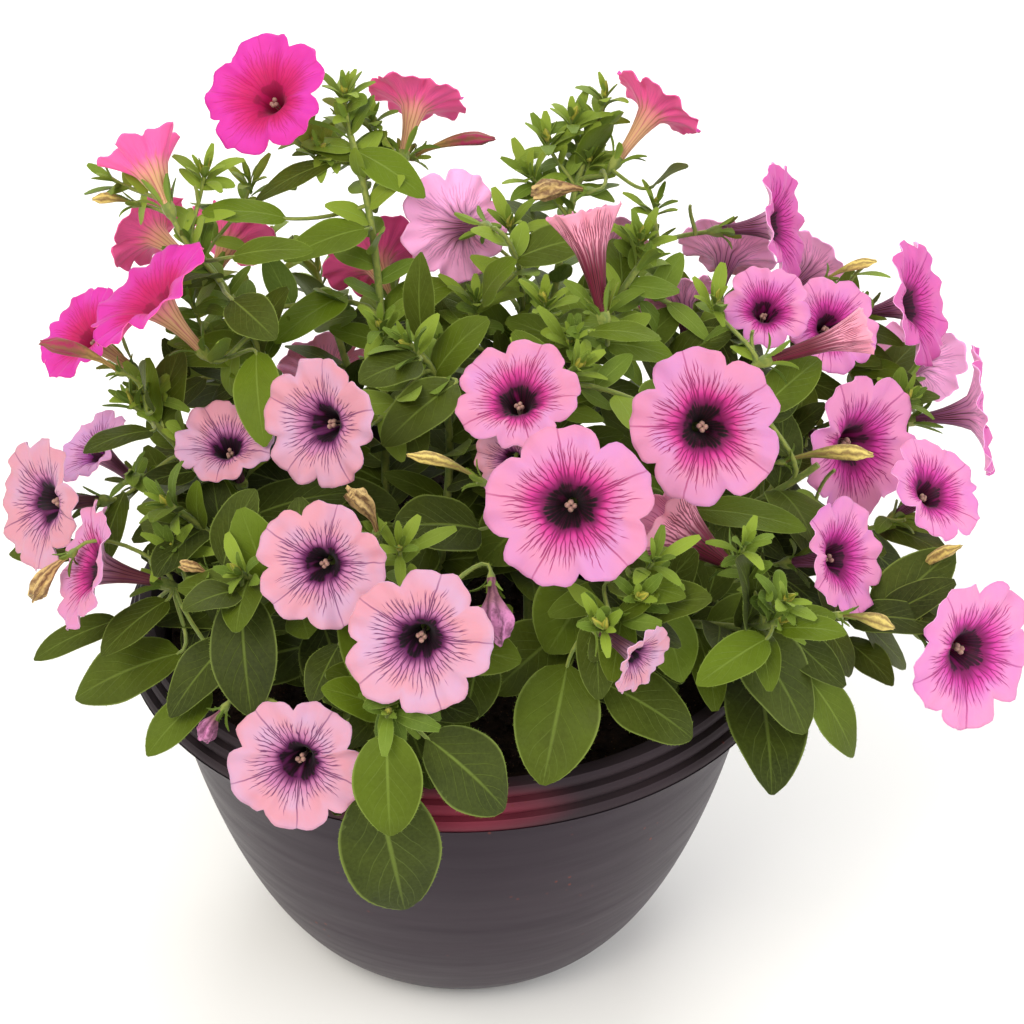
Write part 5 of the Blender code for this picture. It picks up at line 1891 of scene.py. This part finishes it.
@dataclass
class Stamens:
    """Anthers and stigma that show in each open throat, gathered in one piece."""

    per_flower: int = 4
    rings: int = 6
    thread: float = 0.3 * MM

    def build(self, flowers: Sequence[Flower]) -> Piece:
        """Build small beads round each flower's axis, just inside its mouth.

        Each bead is an ellipsoid: radius sin(pi k), height -1.2 cos(pi k) along the axis.

        Args:
            flowers: every flower; the half-open funnels hide theirs.

        Returns:
            The piece, riding on the row's body.
        """
        stock = Stock()
        for flower in flowers:
            if flower.funnel:
                continue
            draw = random.Random(1200 + flower.number)
            side, up = frame_of(flower.axis)
            size = 0.030 * flower.width / 2 + 0.25 * MM
            for anther in range(self.per_flower):
                turn = math.tau * anther / self.per_flower + draw.uniform(-0.4, 0.4)
                place = (flower.base + flower.axis * flower.depth * draw.uniform(0.66, 0.74)
                         + turned(side, up, turn) * size * 1.1)
                shares = np.linspace(0.04, 0.96, self.rings) * math.pi
                profile = list(zip(size * np.sin(shares), -1.2 * size * np.cos(shares)))
                add_lathe(stock, place, flower.axis, profile, 8, Green.STEM, draw.random())
                foot = flower.base + flower.axis * 4 * MM
                add_tube(stock, [foot, place - flower.axis * size], np.full(2, self.thread), 5, 0.5)
        finish = StreakFinish("anther_pollen", "B08C78", "96666A", 2.0, sheen=0.1)
        piece = stock.make("stamens", [finish.make()])
        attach(piece, "root")
        return piece


# ---------------------------------------------------------------- bowl and soil
def turned_about_z(radius: Array, height: Array, sides: int) -> Array:
    """Grid of a profile turned about Z, rows by sides by 3: (radius cos a, radius sin a, height)."""
    angle = round_angles(sides)
    return np.stack([np.outer(radius, np.cos(angle)), np.outer(radius, np.sin(angle)),
                     np.outer(height, np.ones(sides))], -1)


@dataclass
class Bowl:
    """Moulded hanging-basket bowl: a swelling wall, a stepped collar and four drain holes."""

    rim_radius: float = 150 * MM
    rim_top: float = 141 * MM
    lip_height: float = 162 * MM
    height: float = 180 * MM
    base_radius: float = 65 * MM
    wall_top: float = 134 * MM
    wall: float = 2.2 * MM
    swell: float = 1.35
    round: float = 1.9
    ridges: int = 3
    steps: int = 192
    drain_radius: float = 5 * MM
    drain_ring: float = 40 * MM
    drains: int = 4

    def wall_radius(self, height: Array) -> Array:
        """Radius of the wall: base + (top - base) (1 - (1 - h/lip)^swell)^(1/round)."""
        rise = np.clip(1 - height / self.lip_height, 0, 1)
        span = self.wall_top - self.base_radius
        return self.base_radius + span * (1 - rise ** self.swell) ** (1 / self.round)

    def collar(self) -> list[tuple[float, float]]:
        """Collar from its rounded top edge down over its ridges to the lip.

        Each ridge is an arc: the radius steps out by a third of the collar's slope and swells
        by the root of a sine over the ridge's height.

        Returns:
            Radius and height of each point.
        """
        rows = [(137.0 * MM, self.height - 1.0 * MM), (137.6 * MM, self.height), (140.2 * MM, self.height)]
        share = np.linspace(0, 1, 12, endpoint=False)
        for ridge in range(self.ridges):
            low = (ridge + share) / self.ridges
            radius = (self.rim_top + (self.rim_radius - self.rim_top) * (ridge + 1) / self.ridges
                      - 1.6 * MM * (1 - np.sin(np.pi * np.clip(share, 0.06, 1)) ** 0.5) - 0.5 * MM)
            rows += list(zip(radius, self.height + (self.lip_height - self.height) * low - 0.8 * MM))
        lip = ((0.3, 0.5), (0.9, 0.0), (2.2, 0.0), (3.2, 2.0))
        return rows + [(self.rim_radius - inwards * MM, self.lip_height + rise * MM) for inwards, rise in lip]

    def profile(self) -> list[tuple[float, float]]:
        """Closed outline: up the inside, over the collar, down the wall and along the base.

        Returns:
            Radius and height of each point.
        """
        heights = self.lip_height * np.linspace(0.02, 1, 40) ** 1.3
        inner = list(zip(self.wall_radius(heights[:-1]) - self.wall, heights[:-1] + 0.6 * MM))
        inside = [(0.5 * MM, self.wall), (self.base_radius - 3 * MM, self.wall), *inner]
        fold = [(138.6 * MM, 174.5 * MM), (136.8 * MM, 166 * MM), (self.wall_top + 0.4 * MM, 157 * MM)]
        levels = heights[:-2][::-1]
        outer = list(zip(self.wall_radius(levels), levels))
        foot = [(self.base_radius + outwards * MM, rise * MM)
                for outwards, rise in ((1.2, 0.9), (0.2, 0.2), (-1.2, 0.0))] + [(0.5 * MM, 0.0)]
        return [*inside, (134.6 * MM, 170 * MM), *self.collar(), *fold, *outer, *foot]

    def build(self) -> Piece:
        """Turn the outline about Z, cut the drain holes and dress the bowl.

        Returns:
            The piece, riding on the row's body in place of its solid.
        """
        radius, height = np.array(self.profile()).T
        grid = turned_about_z(radius, height, self.steps)
        stock = Stock()
        stock.add_grid(grid, np.linspace(0, 1, self.steps + 1), np.linspace(0, 1, len(radius)))
        piece = stock.make("bowl", [BowlFinish().make(self.lip_height)], sharp=40)
        self.join_middle(piece)
        self.drill(piece)
        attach(piece, "root")
        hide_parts("pot")
        return piece

    @staticmethod
    def join_middle(piece: Piece) -> None:
        """Leave the two small end faces as the middle of the floor, facing outwards.

        Args:
            piece: the bowl.
        """
        shape = bmesh.new()
        shape.from_mesh(piece.data)
        bmesh.ops.recalc_face_normals(shape, faces=shape.faces)
        shape.to_mesh(piece.data)
        shape.free()

    def drill(self, piece: Piece) -> None:
        """Cut the drain holes through the base.

        Args:
            piece: the bowl.
        """
        shape = bmesh.new()
        for hole in range(self.drains):
            turn = math.tau * (hole + 0.5) / self.drains
            made = bmesh.ops.create_cone(shape, cap_ends=True, segments=24, radius1=self.drain_radius,
                                         radius2=self.drain_radius, depth=6 * self.wall)
            bmesh.ops.translate(shape, verts=made["verts"],
                                vec=(self.drain_ring * math.cos(turn), self.drain_ring * math.sin(turn), 0))
        mesh = bpy.data.meshes.new("drain_cutter")
        shape.to_mesh(mesh)
        shape.free()
        cutter = link(bpy.data.objects.new("drain_cutter", mesh))
        boolean = piece.modifiers.new("drains", "BOOLEAN")
        boolean.operation = "DIFFERENCE"
        boolean.object = cutter
        reading = bpy.context.evaluated_depsgraph_get()
        cut = bpy.data.meshes.new_from_object(piece.evaluated_get(reading))
        piece.modifiers.clear()
        piece.data = cut
        bpy.data.objects.remove(cutter)


@dataclass
class Soil:
    """Peat mix: the solid keeps its bulk, and crumbs lie over its top."""

    top: float = 167 * MM
    edge: float = 131 * MM
    slump: float = 4 * MM
    crumbs: int = 1100
    rings: int = 4
    sides: int = 6

    def build(self) -> Piece:
        """Scatter uneven crumbs evenly over the disc: radius is edge times the root of a share.

        Each crumb is a lumpy ball, pressed flat by a third. The soil slumps towards the wall.

        Returns:
            The crumbs' piece, riding on the row's body.
        """
        finish = SoilFinish().make()
        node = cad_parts["soil"]
        node.data.materials.clear()
        node.data.materials.append(finish)
        draw = np.random.default_rng(5)
        stock = Stock()
        polar = np.linspace(0.12, math.pi - 0.12, self.rings)
        ball = turned_about_z(np.sin(polar), 0.65 * np.cos(polar), self.sides)
        for _ in range(self.crumbs):
            reach = self.edge * math.sqrt(draw.uniform(0, 1))
            turn = draw.uniform(0, math.tau)
            size = draw.uniform(0.8, 2.6) * MM
            lumps = 1 + 0.3 * draw.uniform(-1, 1, (self.rings, self.sides, 1))
            rise = self.top - self.slump * smooth_step(0.7, 1.0, reach / self.edge) + 0.3 * size
            place = np.array((reach * math.cos(turn), reach * math.sin(turn), rise))
            stock.add_grid(place + size * lumps * ball, np.linspace(0, 1, self.sides + 1),
                           np.linspace(0, 1, self.rings))
        piece = stock.make("soil_crumbs", [finish])
        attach(piece, "root")
        return piece


# ---------------------------------------------------------------- studio
@dataclass
class Studio:
    """Pale floor, soft daylight from above and the front, and the camera."""

    target: Vector = field(default_factory=lambda: Vector((0.023, 0.0, 0.217)))
    pitch: float = 34.0
    distance: float = 1.1
    half_view: float = 11.55
    floor_size: float = 6.0

    @property
    def eye(self) -> Vector:
        """Where the camera stands: back from the target along its own pitch."""
        pitch = math.radians(self.pitch)
        return self.target + Vector((0, -math.cos(pitch), math.sin(pitch))) * self.distance

    def aim(self, thing: Piece, place: Vector) -> None:
        """Put a lamp or camera in place and turn it to the target."""
        thing.location = place
        thing.rotation_euler = (self.target - place).to_track_quat("-Z", "Y").to_euler()
        link(thing)

    def camera(self) -> None:
        """Make the camera and set it."""
        data = bpy.data.cameras.new("camera")
        data.lens = data.sensor_width / 2 / math.tan(math.radians(self.half_view))
        made = bpy.data.objects.new("camera", data)
        self.aim(made, self.eye)
        bpy.context.scene.camera = made

    def lamp(self, name: str, place: tuple[float, ...], size: float, power: float, tint: str) -> None:
        """Add one square soft lamp that looks at the plant.

        Args:
            name: its name.
            place: where it stands, in metres.
            size: its width, in metres.
            power: its power, in watts.
            tint: hex code of its light.
        """
        data = bpy.data.lights.new(name, "AREA")
        data.size = size
        data.energy = power
        data.color = linear(tint)[:3]
        self.aim(bpy.data.objects.new(name, data), Vector(place))

    def floor(self) -> None:
        """Plain pale floor, part of the stage."""
        shader = Shader("pale_floor")
        shader.set(Base_Color="F4F4F2", Roughness=0.9)
        half = self.floor_size / 2
        mesh = bpy.data.meshes.new("floor")
        corners = [(-half, -half, 0), (half, -half, 0), (half, half, 0), (-half, half, 0)]
        mesh.from_pydata(corners, [], [(0, 1, 2, 3)])
        mesh.materials.append(shader.material)
        link(bpy.data.objects.new("floor", mesh))

    def build(self) -> None:
        """Set up the whole studio."""
        self.camera()
        self.floor()
        self.lamp("key", (-0.9, -1.3, 2.0), 1.2, 33.0, "FFF8EE")
        self.lamp("fill", (1.6, -0.9, 1.0), 1.4, 14.0, "F8FAFF")
        self.lamp("back", (0.3, 1.7, 1.5), 1.2, 20.0, "FFFFFF")
        world = bpy.data.worlds.new("sky")
        world.use_nodes = True
        sky = world.node_tree.nodes["Background"].inputs
        sky["Color"].default_value = linear("FFFEFA")
        sky["Strength"].default_value = 0.92
        bpy.context.scene.world = world
        bpy.context.scene.view_settings.view_transform = "Standard"


# ---------------------------------------------------------------- all together
def owner(plans: dict[str, StemPlan], place: Vector) -> str:
    """Name of the leafy stem that passes nearest below a place."""
    below = place - UP * 20 * MM
    return min(plans, key=lambda name: (nearest_on(plans[name].paths, below) - below).length)


def report(piece: Piece) -> None:
    """Log a piece with its face count."""
    LOG.info("%s: %d faces", piece.name, len(piece.data.polygons))


def shared_out(plans: dict[str, StemPlan]) -> tuple[dict[str, list], dict[str, list]]:
    """Share the young tips and the spent flowers out among the stems.

    Args:
        plans: every stem's routes.

    Returns:
        The numbered rows of young tips, and the spent flowers, of each stem.
    """
    sprigs, spent = ({name: [] for name in plans} for _ in range(2))
    for number, row in enumerate(SPRIGS):
        sprigs[owner(plans, Vector(row[:3]) * CM)].append((number, row))
    for number, (kind, *places, width) in enumerate(SPENT):
        flower = Spent(Green[kind], Vector(places[:3]) * CM, Vector(places[3:]) * CM, width * MM, number)
        spent[owner(plans, flower.foot)].append(flower)
    return sprigs, spent


def main() -> None:
    """Build the studio and every piece."""
    logging.basicConfig(level=logging.INFO, format="%(message)s")
    studio = Studio()
    studio.build()
    gardener = Gardener()
    flowers = gardener.flowers()
    plans = gardener.routes(flowers)
    gardener.large_leaves(plans)
    gardener.small_leaves(plans)
    LOG.info("leaves kept: %d", sum(len(plan.leaves) for plan in plans.values()))
    report(Bowl().build())
    report(Soil().build())
    greens = [GREEN_FINISHES[green].make() for green in Green]
    clearings = Clearings(flowers, studio.eye)
    sprigs, spent = shared_out(plans)
    for name, plan in plans.items():
        report(Foliage(plan, clearings).build(sprigs[name], spent[name], greens))
    skins = {colour: (finish.outer(), finish.face()) for colour, finish in PETAL_FINISHES.items()}
    for flower in flowers:
        report(Bloom(flower).build(skins))
    report(Stamens().build(flowers))
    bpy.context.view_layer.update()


if __name__ == "__main__":
    main()
